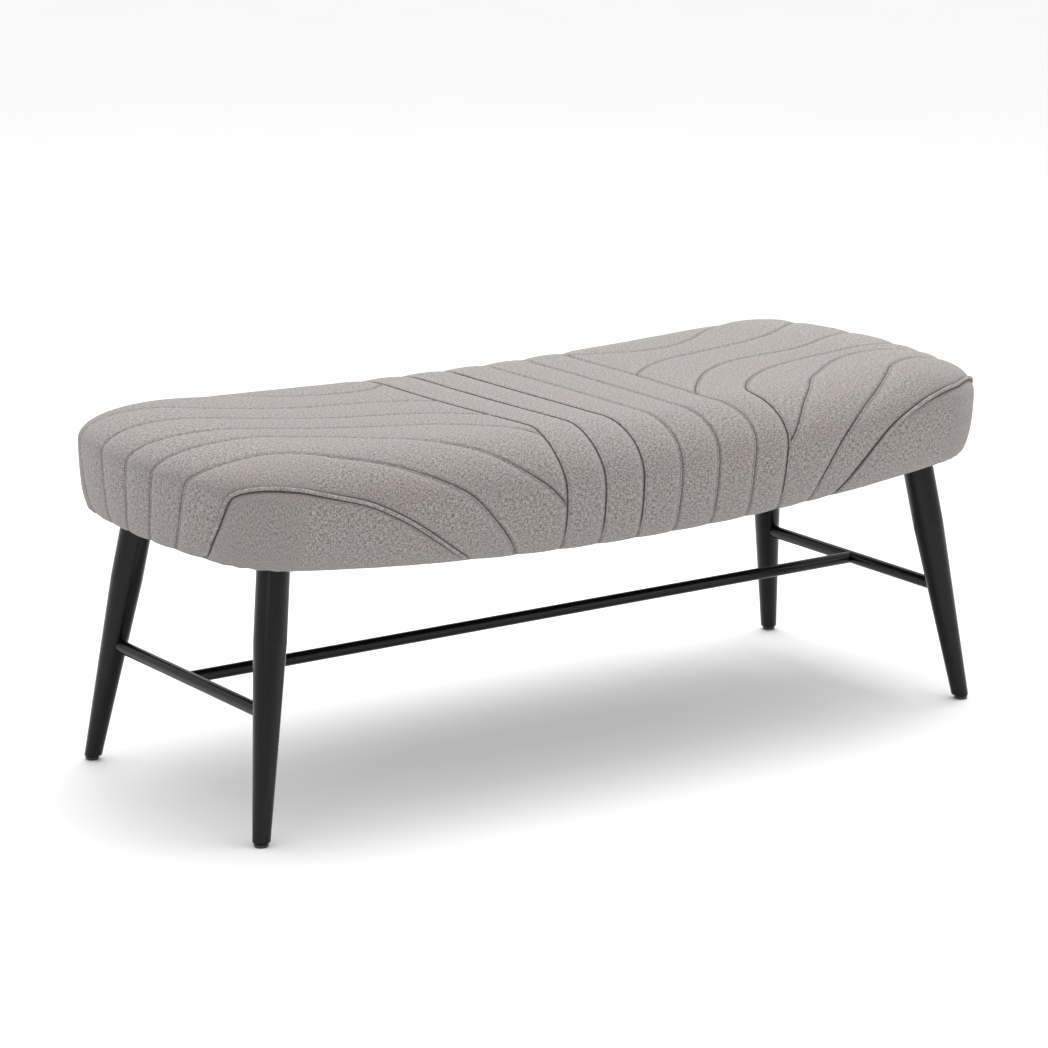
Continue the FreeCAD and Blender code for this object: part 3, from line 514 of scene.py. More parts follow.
def grid_normals(points):
    """cross product of the way down the rows and the way along them"""
    down = np.gradient(points, axis=0)
    along = (np.roll(points, -1, axis=1) - np.roll(points, 1, axis=1)) / 2
    normal = np.cross(down, along)
    return normal / np.maximum(np.linalg.norm(normal, axis=2), 1e-12)[..., None]


def unevenness(places):
    """soft hand made unevenness: a few crossing sine waves of different lengths"""
    x, y, z = places.T
    return (np.sin(31 * x + 9 * y + 1.3) * np.sin(27 * y - 11 * z + 0.4)
            + 0.6 * np.sin(67 * x - 41 * z) * np.sin(59 * y + 23 * x + 2.0)
            + 0.35 * np.sin(131 * x + 73 * y) * np.sin(117 * z - 91 * y + 0.7)) / 1.95


def dress_padded(made, replaced):
    """hides the CAD part that a padded piece replaces; made, the padded piece, is not used"""
    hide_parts(replaced)


def seam_relief(places, gap, length, look):
    """height of the cloth by its distance to the nearest seam: a valley that rises exponentially at its
    shoulder, a parabola that swells towards the channel's middle, and puckers in the rhythm of the stitches.
    The valley and the swell ease off at the hem"""
    shoulder = 1 - np.exp(-gap / look.shoulder)
    swell = 1 - (1 - gap / SEAM_REACH) ** 2
    height = -look.valley + look.valley * QUICK_RISE * shoulder + look.puff * swell
    above = np.clip((places[:, 2] - hem_z(places[:, 0])) / HEM_FADE, 0, 1)
    height *= HEM_SHARE + (1 - HEM_SHARE) * above
    stitches = np.sin(length * 2 * np.pi / STITCH_PITCH + 2.2 * np.sin(length * 41))
    height += PUCKER * np.exp(-gap / PUCKER_REACH) * stitches
    return height + look.uneven * unevenness(places) * np.clip(gap / CALM_REACH, 0, 1)


def corner_gathers(outer):
    """small folds above the hem at the four corners: a sine of the angle round each corner, which fades
    upwards and to the sides"""
    x, y, z = np.moveaxis(outer, 2, 0)
    drop = np.clip(1 - (z - hem_z(x)) / 0.075, 0, 1) ** 1.5
    at_corner = np.exp(-((np.abs(x) - 0.56) / 0.05) ** 2 - ((np.abs(y) - 0.2) / 0.05) ** 2)
    turn = np.arctan2(np.abs(y) - 0.15, np.abs(x) - 0.50)
    return drop * at_corner * np.sin(turn * 26 + 3 * np.sin(x * 40))


def build_cover(look, material):
    """the cushion's skin, its outer rows moved along their normals by the relief of seams and gathers"""
    split = shares(look.mesh_pitch)
    rows, beyond, outer_count = cover_rows(split)
    shown = outer_count + len(HEM_STEPS)
    outer = rows[:shown]
    normals = grid_normals(rows)[:shown]
    spine_x = outer[0][:, 0]
    normals[0] = np.column_stack([-spine_x / TOP_SWEEP, 0 * spine_x, 1 + 0 * spine_x])
    places = outer.reshape(-1, 3)
    lines = [seam_frames(route)[0] for route in [*plain_seams(), *PIPED_SEAMS.values()]]
    gap, length = seam_field(places, lines, SEAM_REACH)
    height = seam_relief(places, gap, length, look).reshape(outer.shape[:2])
    height += look.gathers * corner_gathers(outer)
    fade = np.ones(shown)
    fade[outer_count:] = np.linspace(0.8, 0, len(HEM_STEPS))
    placed = rows.copy()
    placed[:shown] = outer + normals * (height * fade[:, None])[..., None]
    # Painted shade in the seams and a painted highlight beside them, kept as numbers for the cloth's
    # material.
    values = {}
    for title, mask in (("seam_shade", np.exp(-(gap / SHADE_REACH) ** 2)),
                        ("seam_painted_highlight", np.exp(-((gap - PAINTED_HIGHLIGHT_AWAY) / PAINTED_HIGHLIGHT_REACH) ** 2))):
        values[title] = np.zeros(rows.shape[:2])
        values[title][:shown] = mask.reshape(outer.shape[:2])
    mesh = grid_mesh("seat_cover_look", placed, maps=cloth_map(rows, beyond, split), values=values)
    dress_padded(add_object("seat_cover_look", mesh, material), "seat_cover")


def build_seams(look, fold_material, stitch_shade_material):
    """two tubes along each plain seam: the folded edge of the cloth beside it, and a dark line that is the
    stitching and painted shade in the seam's crease
    """
    folds = []
    stitch_shades = []
    for route in plain_seams():
        places, outward, across = above_hem(route)
        side = 1 if places[len(places) // 2][0] > 0.02 else -1
        paths = (places, outward, across)
        folds.append(profile_tube(*paths, side * 0.0017, -look.valley + 0.0009, 0.0012, 8))
        # A dark tube sunk in the seam: the stitching, and painted shade in its crease.
        stitch_shades.append(profile_tube(*paths, -side * 0.0001, -look.valley + 0.0006, 0.0009, 6))
    for name, tubes, material in (("seam_folds", folds, fold_material),
                                  ("seam_stitch_shade", stitch_shades, stitch_shade_material)):
        work = bmesh.new()
        for tube in tubes:
            mesh = grid_mesh(name, tube[:, ::-1])
            work.from_mesh(mesh)
            bpy.data.meshes.remove(mesh)
        whole = bpy.data.meshes.new(name)
        work.to_mesh(whole)
        work.free()
        add_object(name, whole, material)


def build_piping(cord_material, stitch_shade_material):
    """a cord along each piped seam, with a dark line on either side that is stitching and painted shade in
    the crease
    """
    for side, route in PIPED_SEAMS.items():
        places, outward, across = above_hem(route)
        ripple = np.sin(np.arange(len(places)) * 0.55) * 0.00006
        cord = profile_tube(places + outward * ripple[:, None], outward, across, 0.0, 0.0002, 0.0024, 14)
        name = "piping_%s_look" % side
        piping = add_object(name, grid_mesh(name, cord[:, ::-1]), cord_material)
        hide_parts("piping_" + side)
        for word, way in (("inner", 1), ("outer", -1)):
            # Dark tubes beside the cord: stitching, and painted shade in the crease.
            stitch_shade = profile_tube(places, outward, across, way * 0.0028, -0.0012, 0.0009, 6)
            name = "piping_%s_%s_stitching" % (side, word)
            add_object(name, grid_mesh(name, stitch_shade[:, ::-1]), stitch_shade_material)


def padded_piece(name, replaced, material, rows, closed_rows=False):
    mesh = grid_mesh(name, np.array(rows), closed_rows=closed_rows)
    dress_padded(add_object(name, mesh, material), replaced)


def build_fillings(wadding_material, foam_material):
    """wadding, foam block and foam band, each between two levels of the seat's form set further in"""
    split = shares(0.014)
    outer = COVER + 0.0002
    inner = outer + 0.006
    opening = frame_xy(BAND_INSIDE_X, BAND_INSIDE_Y, CLOTH_CORNER, split)
    rows = cap_rows(ring_xy(2, split, outer), 8, lambda x: top_z(x) - outer)
    rows += [level_row(level, split, outer) for level in np.linspace(2, 0, 17)]
    rows += [lifted(opening, outer), lifted(opening, inner)]
    rows += [level_row(level, split, inner) for level in np.linspace(0, 2, 17)]
    rows += cap_rows(ring_xy(2, split, inner), 8, lambda x: top_z(x) - inner)[::-1]
    padded_piece("wadding_look", "fibre_wrap", wadding_material, rows)

    inset = inner + 0.0002
    rise = (DECK_HIGH - inset) / (WIDEST_ABOVE_HEM - inset)
    cut = 2 / np.pi * math.acos(1 - rise)
    rows = cap_rows(ring_xy(2, split, inset), 8, lambda x: top_z(x) - inset)
    rows += [level_row(level, split, inset) for level in np.linspace(2, cut, 12)]
    rows += cap_rows(ring_xy(cut, split, inset), 6, lambda x: hem_z(x) + DECK_HIGH)[::-1]
    padded_piece("foam_block_look", "foam_block", foam_material, rows)

    below_deck = DECK_HIGH - 0.0002
    rows = [level_row(level, split, inset) for level in np.linspace(cut, 0, 7)]
    rows[0] = lifted(rows[0][:, :2], below_deck)
    rows += [lifted(opening, inset), lifted(opening, below_deck)]
    padded_piece("foam_band_look", "foam_edge_band", foam_material, rows, closed_rows=True)


def build_dust_cover(material):
    """thin cloth under the seat: a rounded rectangle that follows the hem's sweep and sags a little inside
    its rows of staples, as a product of two cosines"""
    low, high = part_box("dust_cover")
    half_x = (high[0] - low[0]) / 2
    half_y = (high[1] - low[1]) / 2
    split = shares(0.012)
    edge = frame_xy(half_x, half_y, CLOTH_CORNER, split)
    thick = 0.0007
    gap = low[2] - HEM_HEIGHT

    def under(plan, lift):
        x, y = plan.T
        sag = 0.0022 * (np.cos(np.clip(x / half_x, -1, 1) * np.pi / 2)
                        * np.cos(np.clip(y / half_y, -1, 1) * np.pi / 2))
        ripple = 0.0004 * np.sin(x * 95) * np.clip(np.abs(y) / half_y - 0.7, 0, 1) * 3
        return lifted(plan, gap + lift - sag - ripple)

    spine = spine_xy(edge)
    plans = [spine + (edge - spine) * share for share in np.arange(17) / 16]
    rows = [under(plan, thick) for plan in plans] + [under(plan, 0.0) for plan in plans[::-1]]
    cloth = add_object("dust_cover_look", grid_mesh("dust_cover_look", np.array(rows)), material)
    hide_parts("dust_cover")


# Materials.


def shared_group(name, inputs, outputs):
    """an empty node group with its sockets, and its two ends"""
    group = bpy.data.node_groups.new(name, "ShaderNodeTree")
    for title, kind, default in inputs:
        socket = group.interface.new_socket(name=title, in_out="INPUT", socket_type=kind)
        if default is not None:
            socket.default_value = default
    for title, kind in outputs:
        group.interface.new_socket(name=title, in_out="OUTPUT", socket_type=kind)
    return group, group.nodes.new("NodeGroupInput"), group.nodes.new("NodeGroupOutput")


def feed(tree, socket, value):
    """links a socket to another one, or gives it a plain value"""
    if isinstance(value, bpy.types.NodeSocket):
        tree.links.new(value, socket)
    else:
        socket.default_value = value


def node(tree, kind, settings=None, **values):
    """a new node. The key of a value is its socket's name, or i and the socket's number"""
    made = tree.nodes.new(kind)
    for name, value in (settings or {}).items():
        setattr(made, name, value)
    for name, value in values.items():
        numbered = name[0] == "i" and name[1:].isdigit()
        feed(tree, made.inputs[int(name[1:]) if numbered else name], value)
    return made


def noise(tree, place, scale, detail=2.0):
    return node(tree, "ShaderNodeTexNoise", Vector=place, Scale=scale, Detail=detail).outputs["Fac"]


def maths(tree, operation, first, second=0.0, third=0.0):
    return node(tree, "ShaderNodeMath", {"operation": operation}, i0=first, i1=second, i2=third).outputs[0]


def clamped(tree, value):
    return maths(tree, "MINIMUM", maths(tree, "MAXIMUM", value, 0.0), 1.0)


def ramp(tree, factor, stops):
    made = node(tree, "ShaderNodeValToRGB", Fac=factor)
    points = made.color_ramp.elements
    while len(points) < len(stops):
        points.new(0.5)
    for point, (place, colour) in zip(points, stops):
        point.position = place
        point.color = (*colour, 1)
    return made.outputs["Color"]


def mixed(tree, factor, first, second, blend="MIX"):
    made = tree.nodes.new("ShaderNodeMix")
    made.data_type = "RGBA"
    made.blend_type = blend
    for number, value in ((0, factor), (6, first), (7, second)):
        feed(tree, made.inputs[number], value)
    return made.outputs[2]


def make_groups():
    """the effects that several materials share: heathered yarn colours, a plain weave and wood grain"""
    number = "NodeSocketFloat"
    colour = "NodeSocketColor"
    vector = ("Vector", "NodeSocketVector", None)
    kinds = [vector, ("Light", colour, (0.6, 0.6, 0.6, 1)), ("Middle", colour, (0.4, 0.4, 0.4, 1)),
             ("Dark", colour, (0.2, 0.2, 0.2, 1)), ("Yarn", number, 900.0)]
    tree, start, end = shared_group("Heather", kinds, [("Color", colour), ("Fleck", number)])
    flecks = []
    for stretch in ((0.28, 1.0, 1.0), (1.0, 0.28, 1.0)):
        place = node(tree, "ShaderNodeMapping", Vector=start.outputs["Vector"], Scale=stretch).outputs[0]
        yarn = node(tree, "ShaderNodeTexNoise", Vector=place, Scale=start.outputs["Yarn"], Detail=2.0,
                    Roughness=0.6)
        flecks.append(yarn.outputs["Fac"])
    fleck = maths(tree, "MULTIPLY", maths(tree, "ADD", flecks[0], flecks[1]), 0.5)
    patch = node(tree, "ShaderNodeTexNoise", Vector=start.outputs["Vector"], Scale=420.0, Detail=3.0,
                 Roughness=0.6)
    spread = maths(tree, "MULTIPLY", maths(tree, "SUBTRACT", fleck, 0.5), 4.6)
    cloud = maths(tree, "MULTIPLY_ADD", patch.outputs["Fac"], 1.3, -0.15)
    level = clamped(tree, maths(tree, "ADD", spread, cloud))
    dull = mixed(tree, maths(tree, "MULTIPLY", level, 2.0), start.outputs["Dark"], start.outputs["Middle"])
    both = mixed(tree, maths(tree, "MULTIPLY_ADD", level, 2.0, -1.0), dull, start.outputs["Light"])
    tree.links.new(both, end.inputs["Color"])
    tree.links.new(fleck, end.inputs["Fleck"])

    kinds = [vector, ("Threads", number, 1100.0)]
    tree, start, end = shared_group("Plain weave", kinds, [("Height", number)])
    scaled = node(tree, "ShaderNodeVectorMath", {"operation": "SCALE"}, i0=start.outputs["Vector"])
    tree.links.new(start.outputs["Threads"], scaled.inputs["Scale"])
    parts = node(tree, "ShaderNodeSeparateXYZ", i0=scaled.outputs[0])
    ribs = [maths(tree, "SINE", maths(tree, "MULTIPLY", parts.outputs[axis], 2 * math.pi)) for axis in (0, 1)]
    over = maths(tree, "MULTIPLY", maths(tree, "MULTIPLY", ribs[0], ribs[1]), 0.5)
    tree.links.new(maths(tree, "ADD", over, 0.5), end.inputs["Height"])

    kinds = [vector, ("Light", colour, (0.7, 0.5, 0.3, 1)), ("Dark", colour, (0.4, 0.25, 0.12, 1)),
             ("Fineness", number, 40.0)]
    tree, start, end = shared_group("Grain", kinds, [("Color", colour), ("Height", number)])
    place = node(tree, "ShaderNodeMapping", Vector=start.outputs["Vector"], Scale=(0.06, 1.0, 1.0)).outputs[0]
    waves = node(tree, "ShaderNodeTexNoise", Vector=place, Scale=start.outputs["Fineness"], Detail=6.0,
                 Roughness=0.62, Distortion=0.6)
    pores = node(tree, "ShaderNodeTexNoise", Vector=place, Detail=2.0,
                 Scale=maths(tree, "MULTIPLY", start.outputs["Fineness"], 14.0))
    streak = maths(tree, "MULTIPLY_ADD", maths(tree, "SUBTRACT", waves.outputs["Fac"], 0.5), 2.4, 0.5)
    pitted = maths(tree, "MULTIPLY", maths(tree, "SUBTRACT", pores.outputs["Fac"], 0.5), 0.6)
    streak = clamped(tree, maths(tree, "ADD", streak, pitted))
    tree.links.new(mixed(tree, streak, start.outputs["Dark"], start.outputs["Light"]), end.inputs["Color"])
    tree.links.new(streak, end.inputs["Height"])


def new_material(name, coordinates="Object"):
    """a material with its node tree, its shader and the coordinates that its patterns follow"""
    made = bpy.data.materials.new(name)
    made.use_nodes = True
    tree = made.node_tree
    place = node(tree, "ShaderNodeTexCoord").outputs[coordinates]
    return made, tree, tree.nodes["Principled BSDF"], place


def finish(tree, shader, **values):
    """sets the shader's sockets, whose names are written with _ for a space"""
    for title, value in values.items():
        feed(tree, shader.inputs[title.replace("_", " ")], value)


def placed_group(tree, name, **values):
    made = tree.nodes.new("ShaderNodeGroup")
    made.node_tree = bpy.data.node_groups[name]
    for title, value in values.items():
        feed(tree, made.inputs[title], value)
    return made


def bump(tree, shader, height, strength, distance):
    made = node(tree, "ShaderNodeBump", Strength=strength, Distance=distance, Height=height)
    tree.links.new(made.outputs[0], shader.inputs["Normal"])


def shaded(colour, share):
    return (*[channel * share for channel in colour[:3]], 1)


def seat_cloth(name, look, coordinates="UV", shade=1.0, seamed=False):
    """heathered cloth, with painted shade in its seams and a painted highlight beside them"""
    made, tree, shader, place = new_material(name, coordinates)
    base = (*look.cloth_colour, 1)
    heather = placed_group(tree, "Heather", Vector=place, Light=shaded(base, 1.5 * shade),
                           Middle=shaded(base, shade), Dark=shaded(base, 0.42 * shade), Yarn=820.0)
    drift = maths(tree, "MULTIPLY_ADD", noise(tree, place, 9.0), 1.4, -0.3)
    pink = mixed(tree, drift, (0.96, 1.0, 0.985, 1), (1.05, 0.975, 0.97, 1))
    colour = mixed(tree, 1.0, heather.outputs["Color"], pink, "MULTIPLY")
    if seamed:
        # Painted shade in the seam's crease, and a painted highlight on the cloth beside it.
        valley = node(tree, "ShaderNodeAttribute", {"attribute_name": "seam_shade"}).outputs["Fac"]
        painted_highlight = node(tree, "ShaderNodeAttribute", {"attribute_name": "seam_painted_highlight"}).outputs["Fac"]
        colour = mixed(tree, maths(tree, "MULTIPLY", painted_highlight, 0.16), colour, shaded(base, 1.5))
        colour = mixed(tree, maths(tree, "MULTIPLY", valley, 0.75), colour, shaded(base, 0.16))
    finish(tree, shader, Base_Color=colour, Roughness=0.92, Specular_IOR_Level=0.25, Sheen_Weight=0.25,
           Sheen_Roughness=0.5)
    weave = placed_group(tree, "Plain weave", Vector=place, Threads=700.0)
    fuzz = maths(tree, "ADD", weave.outputs["Height"], maths(tree, "MULTIPLY", heather.outputs["Fleck"], 1.2))
    bump(tree, shader, fuzz, 0.5, 0.0006)
    return made


def lacquered_wood(name, look):
    made, tree, shader, place = new_material(name)
    upright = node(tree, "ShaderNodeMapping", Vector=place, Rotation=(0, math.pi / 2, 0)).outputs[0]
    base = (*look.lacquer_colour, 1)
    grain = placed_group(tree, "Grain", Vector=upright, Light=shaded(base, 1.5), Dark=shaded(base, 0.7),
                         Fineness=60.0)
    gloss = maths(tree, "MULTIPLY_ADD", noise(tree, place, 22.0, 3.0), 0.14, look.lacquer_roughness - 0.07)
    finish(tree, shader, Base_Color=grain.outputs["Color"], Roughness=gloss, Specular_IOR_Level=0.2,
           Coat_Weight=0.06, Coat_Roughness=0.12)
    bump(tree, shader, grain.outputs["Height"], 0.12, 0.0003)
    return made


def raw_wood(name, light, dark, plies=False):
    made, tree, shader, place = new_material(name)
    grain = placed_group(tree, "Grain", Vector=place, Light=(*light, 1), Dark=(*dark, 1), Fineness=48.0)
    colour = grain.outputs["Color"]
    if plies:
        parts = node(tree, "ShaderNodeSeparateXYZ", i0=place)
        square = maths(tree, "MULTIPLY", parts.outputs[0], parts.outputs[0])
        above = maths(tree, "SUBTRACT", parts.outputs[2], maths(tree, "MULTIPLY", square, 0.5 / HEM_SWEEP))
        stripe = maths(tree, "SINE", maths(tree, "MULTIPLY", above, 2 * math.pi / 0.003))
        side = maths(tree, "MULTIPLY_ADD", stripe, 0.5, 0.5)
        normal = node(tree, "ShaderNodeSeparateXYZ", i0=node(tree, "ShaderNodeNewGeometry").outputs["Normal"])
        upright = maths(tree, "SUBTRACT", 1.0, maths(tree, "ABSOLUTE", normal.outputs[2]))
        colour = mixed(tree, maths(tree, "MULTIPLY", side, upright), colour, (*dark, 1))
    finish(tree, shader, Base_Color=colour, Roughness=0.62)
    bump(tree, shader, grain.outputs["Height"], 0.3, 0.0004)
    return made


def plated_steel(name, colour, roughness):
    made, tree, shader, place = new_material(name)
    spangle = node(tree, "ShaderNodeTexVoronoi", Vector=place, Scale=420.0).outputs["Color"]
    cloud = noise(tree, place, 160.0, 3.0)
    level = node(tree, "ShaderNodeSeparateColor", i0=spangle).outputs[0]
    level = maths(tree, "MULTIPLY_ADD", level, 0.25, 0.8)
    tint = mixed(tree, cloud, shaded((*colour, 1), 0.8), (*colour, 1))
    shade = node(tree, "ShaderNodeCombineColor", i0=level, i1=level, i2=level).outputs[0]
    finish(tree, shader, Base_Color=mixed(tree, 1.0, tint, shade, "MULTIPLY"), Metallic=1.0,
           Roughness=maths(tree, "MULTIPLY_ADD", cloud, 0.2, roughness - 0.1))
    bump(tree, shader, cloud, 0.1, 0.0002)
    return made


def foot_plastic(name):
    made, tree, shader, place = new_material(name)
    speck = noise(tree, place, 900.0)
    low = maths(tree, "LESS_THAN", node(tree, "ShaderNodeSeparateXYZ", i0=place).outputs[2], 0.0012)
    scuffed = maths(tree, "MULTIPLY", low, maths(tree, "MULTIPLY", speck, 0.6))
    finish(tree, shader, Base_Color=mixed(tree, scuffed, (0.012, 0.012, 0.013, 1), (0.12, 0.12, 0.12, 1)),
           Roughness=maths(tree, "MULTIPLY_ADD", speck, 0.12, 0.12))
    bump(tree, shader, speck, 0.05, 0.0002)
    return made


def filling(name, light, dark, scale, depth):
    made, tree, shader, place = new_material(name)
    cells = node(tree, "ShaderNodeTexVoronoi", Vector=place, Scale=scale).outputs["Distance"]
    cloud = noise(tree, place, scale / 6, 4.0)
    level = maths(tree, "ADD", maths(tree, "MULTIPLY", cells, 0.5), maths(tree, "MULTIPLY", cloud, 0.5))
    finish(tree, shader, Base_Color=ramp(tree, level, ((0.2, dark), (0.6, light))), Roughness=0.95)
    bump(tree, shader, cells, 0.6, depth)
    return made


def dust_cloth(name):
    made, tree, shader, place = new_material(name)
    dots = node(tree, "ShaderNodeTexVoronoi", Vector=place, Scale=620.0).outputs["Distance"]
    fibres = noise(tree, place, 1500.0, 3.0)
    level = maths(tree, "ADD", maths(tree, "MULTIPLY", dots, 0.6), maths(tree, "MULTIPLY", fibres, 0.4))
    black = ramp(tree, level, ((0.2, (0.008, 0.008, 0.009)), (0.8, (0.05, 0.05, 0.055))))
    finish(tree, shader, Base_Color=black, Roughness=0.88)
    bump(tree, shader, level, 0.5, 0.0004)
    return made


def dress(prefixes, material):
    """gives a material to every CAD node whose name starts with one of the words"""
    for name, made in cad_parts.items():
        if name.startswith(prefixes):
            made.data.materials.clear()
            made.data.materials.append(material)
            if name.startswith(TURNED):
                made.data.shade_smooth()


# Studio.

# Camera that sees the bench as the photograph does: its place in metres, its turn to the right, tilt down
# and roll in degrees, and its lens and sensor in millimetres. Then the point that the lights face.
CAMERA_PLACE = (-2.8728, -4.0978, 1.5441)
CAMERA_ANGLES = (34.807, 14.1745, 0.198)
CAMERA_LENS = 134.63
CAMERA_SENSOR = 36.0
LIT_POINT = Vector((0, 0, 0.35))


def build_floor(scene):
    """a white square that reaches past the picture"""
    reach = 12.0
    mesh = bpy.data.meshes.new("floor")
    corners = [(-reach, -reach, 0), (reach, -reach, 0), (reach, reach, 0), (-reach, reach, 0)]
    mesh.from_pydata(corners, [], [(0, 1, 2, 3)])
    floor = bpy.data.objects.new("floor", mesh)
    scene.collection.objects.link(floor)
    white, tree, shader, place = new_material("Studio white")
    paint = mixed(tree, noise(tree, place, 3.0), (0.93, 0.93, 0.93, 1), (0.95, 0.95, 0.95, 1))
    finish(tree, shader, Base_Color=paint, Roughness=0.9, Specular_IOR_Level=0.0)
    mesh.materials.append(white)


def build_lights(scene, studio):
    """plain colours, a white surround, a large soft light overhead, and small ones at the left and right"""
    scene.view_settings.view_transform = "Standard"
    scene.view_settings.look = "None"
    scene.world = bpy.data.worlds.new("Surround")
    scene.world.use_nodes = True
    back = scene.world.node_tree.nodes["Background"]
    back.inputs["Color"].default_value = (1, 1, 1, 1)
    back.inputs["Strength"].default_value = studio.surround
    for name, power, place, size in (("key", studio.key_power, (0.5, 0.5, 3.0), 2.6),
                                     ("fill", studio.fill_power, (-2.4, -1.3, 0.9), 0.45),
                                     ("side", studio.side_power, (2.2, -2.4, 1.3), 1.2)):
        lamp = bpy.data.lights.new(name, "AREA")
        lamp.energy = power
        lamp.size = size
        made = bpy.data.objects.new(name, lamp)
        scene.collection.objects.link(made)
        turned = (LIT_POINT - Vector(place)).to_track_quat("-Z", "Y").to_matrix().to_4x4()
        made.matrix_world = Matrix.Translation(place) @ turned


def place_camera(scene):
    """the camera's axes from its yaw, pitch and roll, as the columns of its matrix"""
    yaw, pitch, roll = (math.radians(angle) for angle in CAMERA_ANGLES)
    ahead = Vector((math.sin(yaw) * math.cos(pitch), math.cos(yaw) * math.cos(pitch), -math.sin(pitch)))
    level = Vector((math.cos(yaw), -math.sin(yaw), 0))
    above = level.cross(ahead)
    right = level * math.cos(roll) + above * math.sin(roll)
    up = above * math.cos(roll) - level * math.sin(roll)
    lens = bpy.data.cameras.new("camera")
    lens.lens = CAMERA_LENS
    lens.sensor_width = CAMERA_SENSOR
    lens.clip_end = 60.0
    camera = bpy.data.objects.new("camera", lens)
    scene.collection.objects.link(camera)
    turned = Matrix((right, up, -ahead)).transposed().to_4x4()
    camera.matrix_world = Matrix.Translation(CAMERA_PLACE) @ turned
    scene.camera = camera


# Settings that a user would change.


def distance_property(name, description, default, low, high):
    return bpy.props.FloatProperty(name=name, description=description, default=default, min=low, max=high,
                                   subtype="DISTANCE", unit="LENGTH")


def power_property(name, description, default):
    return bpy.props.FloatProperty(name=name, description=description, default=default, min=0.0,
                                   subtype="POWER", unit="POWER")


def colour_property(name, description, default):
    return bpy.props.FloatVectorProperty(name=name, description=description, default=default, size=3,
                                         min=0, max=1, subtype="COLOR")


class BenchSeatLook(bpy.types.PropertyGroup):
    mesh_pitch: distance_property("Mesh pitch", "Spacing of the cover's points", 0.003, 0.0015, 0.02)
    valley: distance_property("Seam depth", "How deep the stitching pulls the cloth in", 0.0036, 0.0, 0.0045)
    shoulder: distance_property("Shoulder", "How fast a channel rises beside its seam", 0.0058, 0.001, 0.02)
    puff: distance_property("Puff", "How much a channel swells between its seams", 0.0014, 0.0, 0.006)
    uneven: distance_property("Unevenness", "Soft unevenness of the filling", 0.0004, 0.0, 0.002)
    gathers: distance_property("Gathers", "Depth of the folds at the hem's corners", 0.0006, 0.0, 0.004)
    cloth_colour: colour_property("Cloth", "Middle colour of the yarn", (0.250, 0.227, 0.219))


class BenchWoodLook(bpy.types.PropertyGroup):
    lacquer_colour: colour_property("Lacquer", "Colour of the legs and stretchers", (0.0028, 0.0028, 0.003))
    lacquer_roughness: bpy.props.FloatProperty(name="Lacquer roughness", description="Gloss of the legs",
                                               default=0.25, min=0.08, max=1.0, subtype="FACTOR")


class BenchStudio(bpy.types.PropertyGroup):
    key_power: power_property("Key light", "Power of the large light overhead", 78.0)
    fill_power: power_property("Fill light", "Power of the small light on the left", 2.0)
    side_power: power_property("Side light", "Power of the light on the right", 5.0)
    surround: bpy.props.FloatProperty(name="Surround", description="Brightness of the white surround",
                                      default=1.0, min=0.0, max=5.0)


# One operator for each piece or group of like pieces.


class BENCH_OT_materials(bpy.types.Operator):
    """Makes the shared node groups"""
    bl_idname = "bench.materials"
    bl_label = "Shared materials"

    def execute(self, context):
        make_groups()
        return {"FINISHED"}


class BENCH_OT_cover(bpy.types.Operator):
    """Builds the quilted seat cover over the CAD form"""
    bl_idname = "bench.cover"
    bl_label = "Seat cover"

    def execute(self, context):
        look = context.scene.bench_seat
        build_cover(look, seat_cloth("Seat cloth", look, seamed=True))
        return {"FINISHED"}


class BENCH_OT_seams(bpy.types.Operator):
    """Builds the folded edges, and the dark lines of stitching and painted shade, along the plain seams, and
    the piping
    """
    bl_idname = "bench.seams"
    bl_label = "Seams and piping"

    def execute(self, context):
        look = context.scene.bench_seat
        # The folds and piping use the cloth painted a twentieth lighter: a painted highlight on the ridge
        # beside each seam.
        fold = seat_cloth("Fold cloth painted lighter", look, "Object", 1.05)
        # The stitching lines are the cloth at a fifth of its brightness: thread, and painted shade in the
        # seam's crease.
        stitch_shade = seat_cloth("Seam shadow", look, "Object", 0.2)
        build_seams(look, fold, stitch_shade)
        build_piping(fold, stitch_shade)
        return {"FINISHED"}


class BENCH_OT_fillings(bpy.types.Operator):
    """Builds the wadding and foam under the cover"""
    bl_idname = "bench.fillings"
    bl_label = "Wadding and foam"

    def execute(self, context):
        build_fillings(filling("Wadding", (0.85, 0.85, 0.82), (0.6, 0.6, 0.58), 300.0, 0.001),
                       filling("Foam", (0.86, 0.80, 0.60), (0.66, 0.58, 0.38), 700.0, 0.0006))
        return {"FINISHED"}


class BENCH_OT_dust_cover(bpy.types.Operator):
    """Builds the thin cloth under the seat"""
    bl_idname = "bench.dust_cover"
    bl_label = "Dust cover"

    def execute(self, context):
        build_dust_cover(dust_cloth("Dust cloth"))
        return {"FINISHED"}


class BENCH_OT_frame(bpy.types.Operator):
    """Finishes the wooden frame and its deck"""
    bl_idname = "bench.frame"
    bl_label = "Frame"

    def execute(self, context):
        dress(("front_rail", "back_rail", "left_rail", "right_rail", "cross_rail", "corner_block"),
              raw_wood("Birch", (0.66, 0.50, 0.32), (0.48, 0.33, 0.19)))
        dress(("seat_deck",), raw_wood("Plywood", (0.62, 0.46, 0.28), (0.36, 0.23, 0.12), plies=True))
        return {"FINISHED"}


class BENCH_OT_fittings(bpy.types.Operator):
    """Finishes the plates, bolts, screws, staples and threaded sleeves"""
    bl_idname = "bench.fittings"
    bl_label = "Fittings"

    def execute(self, context):
        dress(("leg_plate", "foot_insert"), plated_steel("Zinc plate", (0.62, 0.63, 0.64), 0.38))
        dress(("hanger_bolts", "plate_screws", "block_screws", "deck_screws"),
              plated_steel("Yellow zinc", (0.66, 0.58, 0.38), 0.34))
        dress(("hem_staples", "cloth_staples"), plated_steel("Staple wire", (0.60, 0.60, 0.60), 0.30))
        return {"FINISHED"}


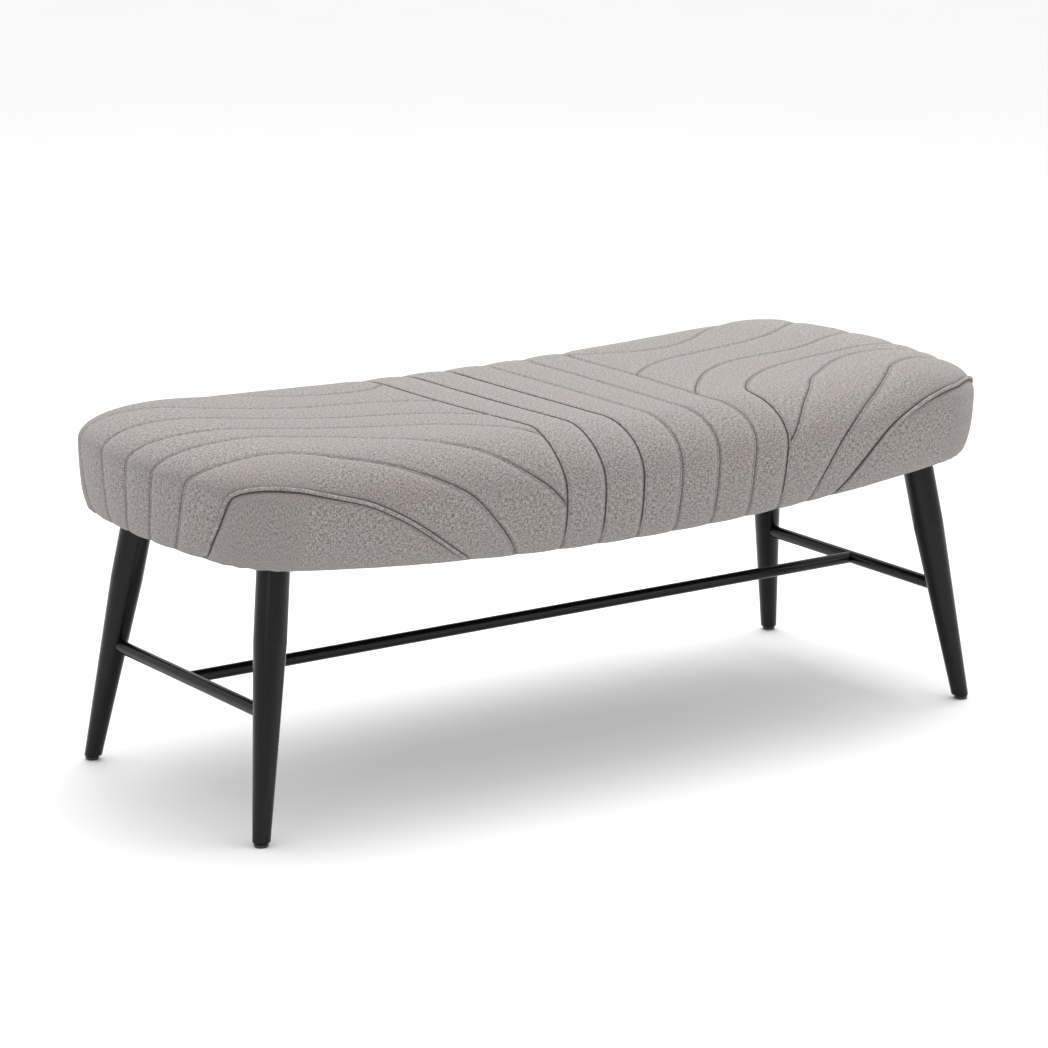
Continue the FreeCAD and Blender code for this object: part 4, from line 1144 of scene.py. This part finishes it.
class BENCH_OT_legs(bpy.types.Operator):
    """Finishes the legs and stretchers in black lacquer, and the feet in black plastic"""
    bl_idname = "bench.legs"
    bl_label = "Legs, stretchers and feet"

    def execute(self, context):
        lacquer = lacquered_wood("Black lacquer", context.scene.bench_wood)
        dress(TURNED[:-1], lacquer)
        dress(TURNED[-1:], foot_plastic("Foot plastic"))
        return {"FINISHED"}


class BENCH_OT_stage(bpy.types.Operator):
    """Builds the studio: floor, surround, lights and camera"""
    bl_idname = "bench.stage"
    bl_label = "Studio"

    def execute(self, context):
        build_floor(context.scene)
        build_lights(context.scene, context.scene.bench_studio)
        place_camera(context.scene)
        return {"FINISHED"}


OPERATORS = (BENCH_OT_materials, BENCH_OT_cover, BENCH_OT_seams, BENCH_OT_fillings, BENCH_OT_dust_cover,
             BENCH_OT_frame, BENCH_OT_fittings, BENCH_OT_legs, BENCH_OT_stage)


class BENCH_PT_panel(bpy.types.Panel):
    """Lists the bench's pieces and settings"""
    bl_idname = "BENCH_PT_panel"
    bl_label = "Bench"
    bl_space_type = "VIEW_3D"
    bl_region_type = "UI"
    bl_category = "Bench"

    def draw(self, context):
        column = self.layout.column()
        for made in OPERATORS:
            column.operator(made.bl_idname)
        for group in (context.scene.bench_seat, context.scene.bench_wood, context.scene.bench_studio):
            for name in group.__annotations__:
                column.prop(group, name)


CLASSES = (BenchSeatLook, BenchWoodLook, BenchStudio) + OPERATORS + (BENCH_PT_panel,)


def register():
    for made in CLASSES:
        bpy.utils.register_class(made)
    bpy.types.Scene.bench_seat = bpy.props.PointerProperty(type=BenchSeatLook)
    bpy.types.Scene.bench_wood = bpy.props.PointerProperty(type=BenchWoodLook)
    bpy.types.Scene.bench_studio = bpy.props.PointerProperty(type=BenchStudio)


def unregister():
    del bpy.types.Scene.bench_seat
    del bpy.types.Scene.bench_wood
    del bpy.types.Scene.bench_studio
    for made in reversed(CLASSES):
        bpy.utils.unregister_class(made)


def main():
    register()
    bpy.ops.bench.materials()
    bpy.ops.bench.cover()
    bpy.ops.bench.seams()
    bpy.ops.bench.fillings()
    bpy.ops.bench.dust_cover()
    bpy.ops.bench.frame()
    bpy.ops.bench.fittings()
    bpy.ops.bench.legs()
    bpy.ops.bench.stage()


if __name__ == "__main__":
    main()
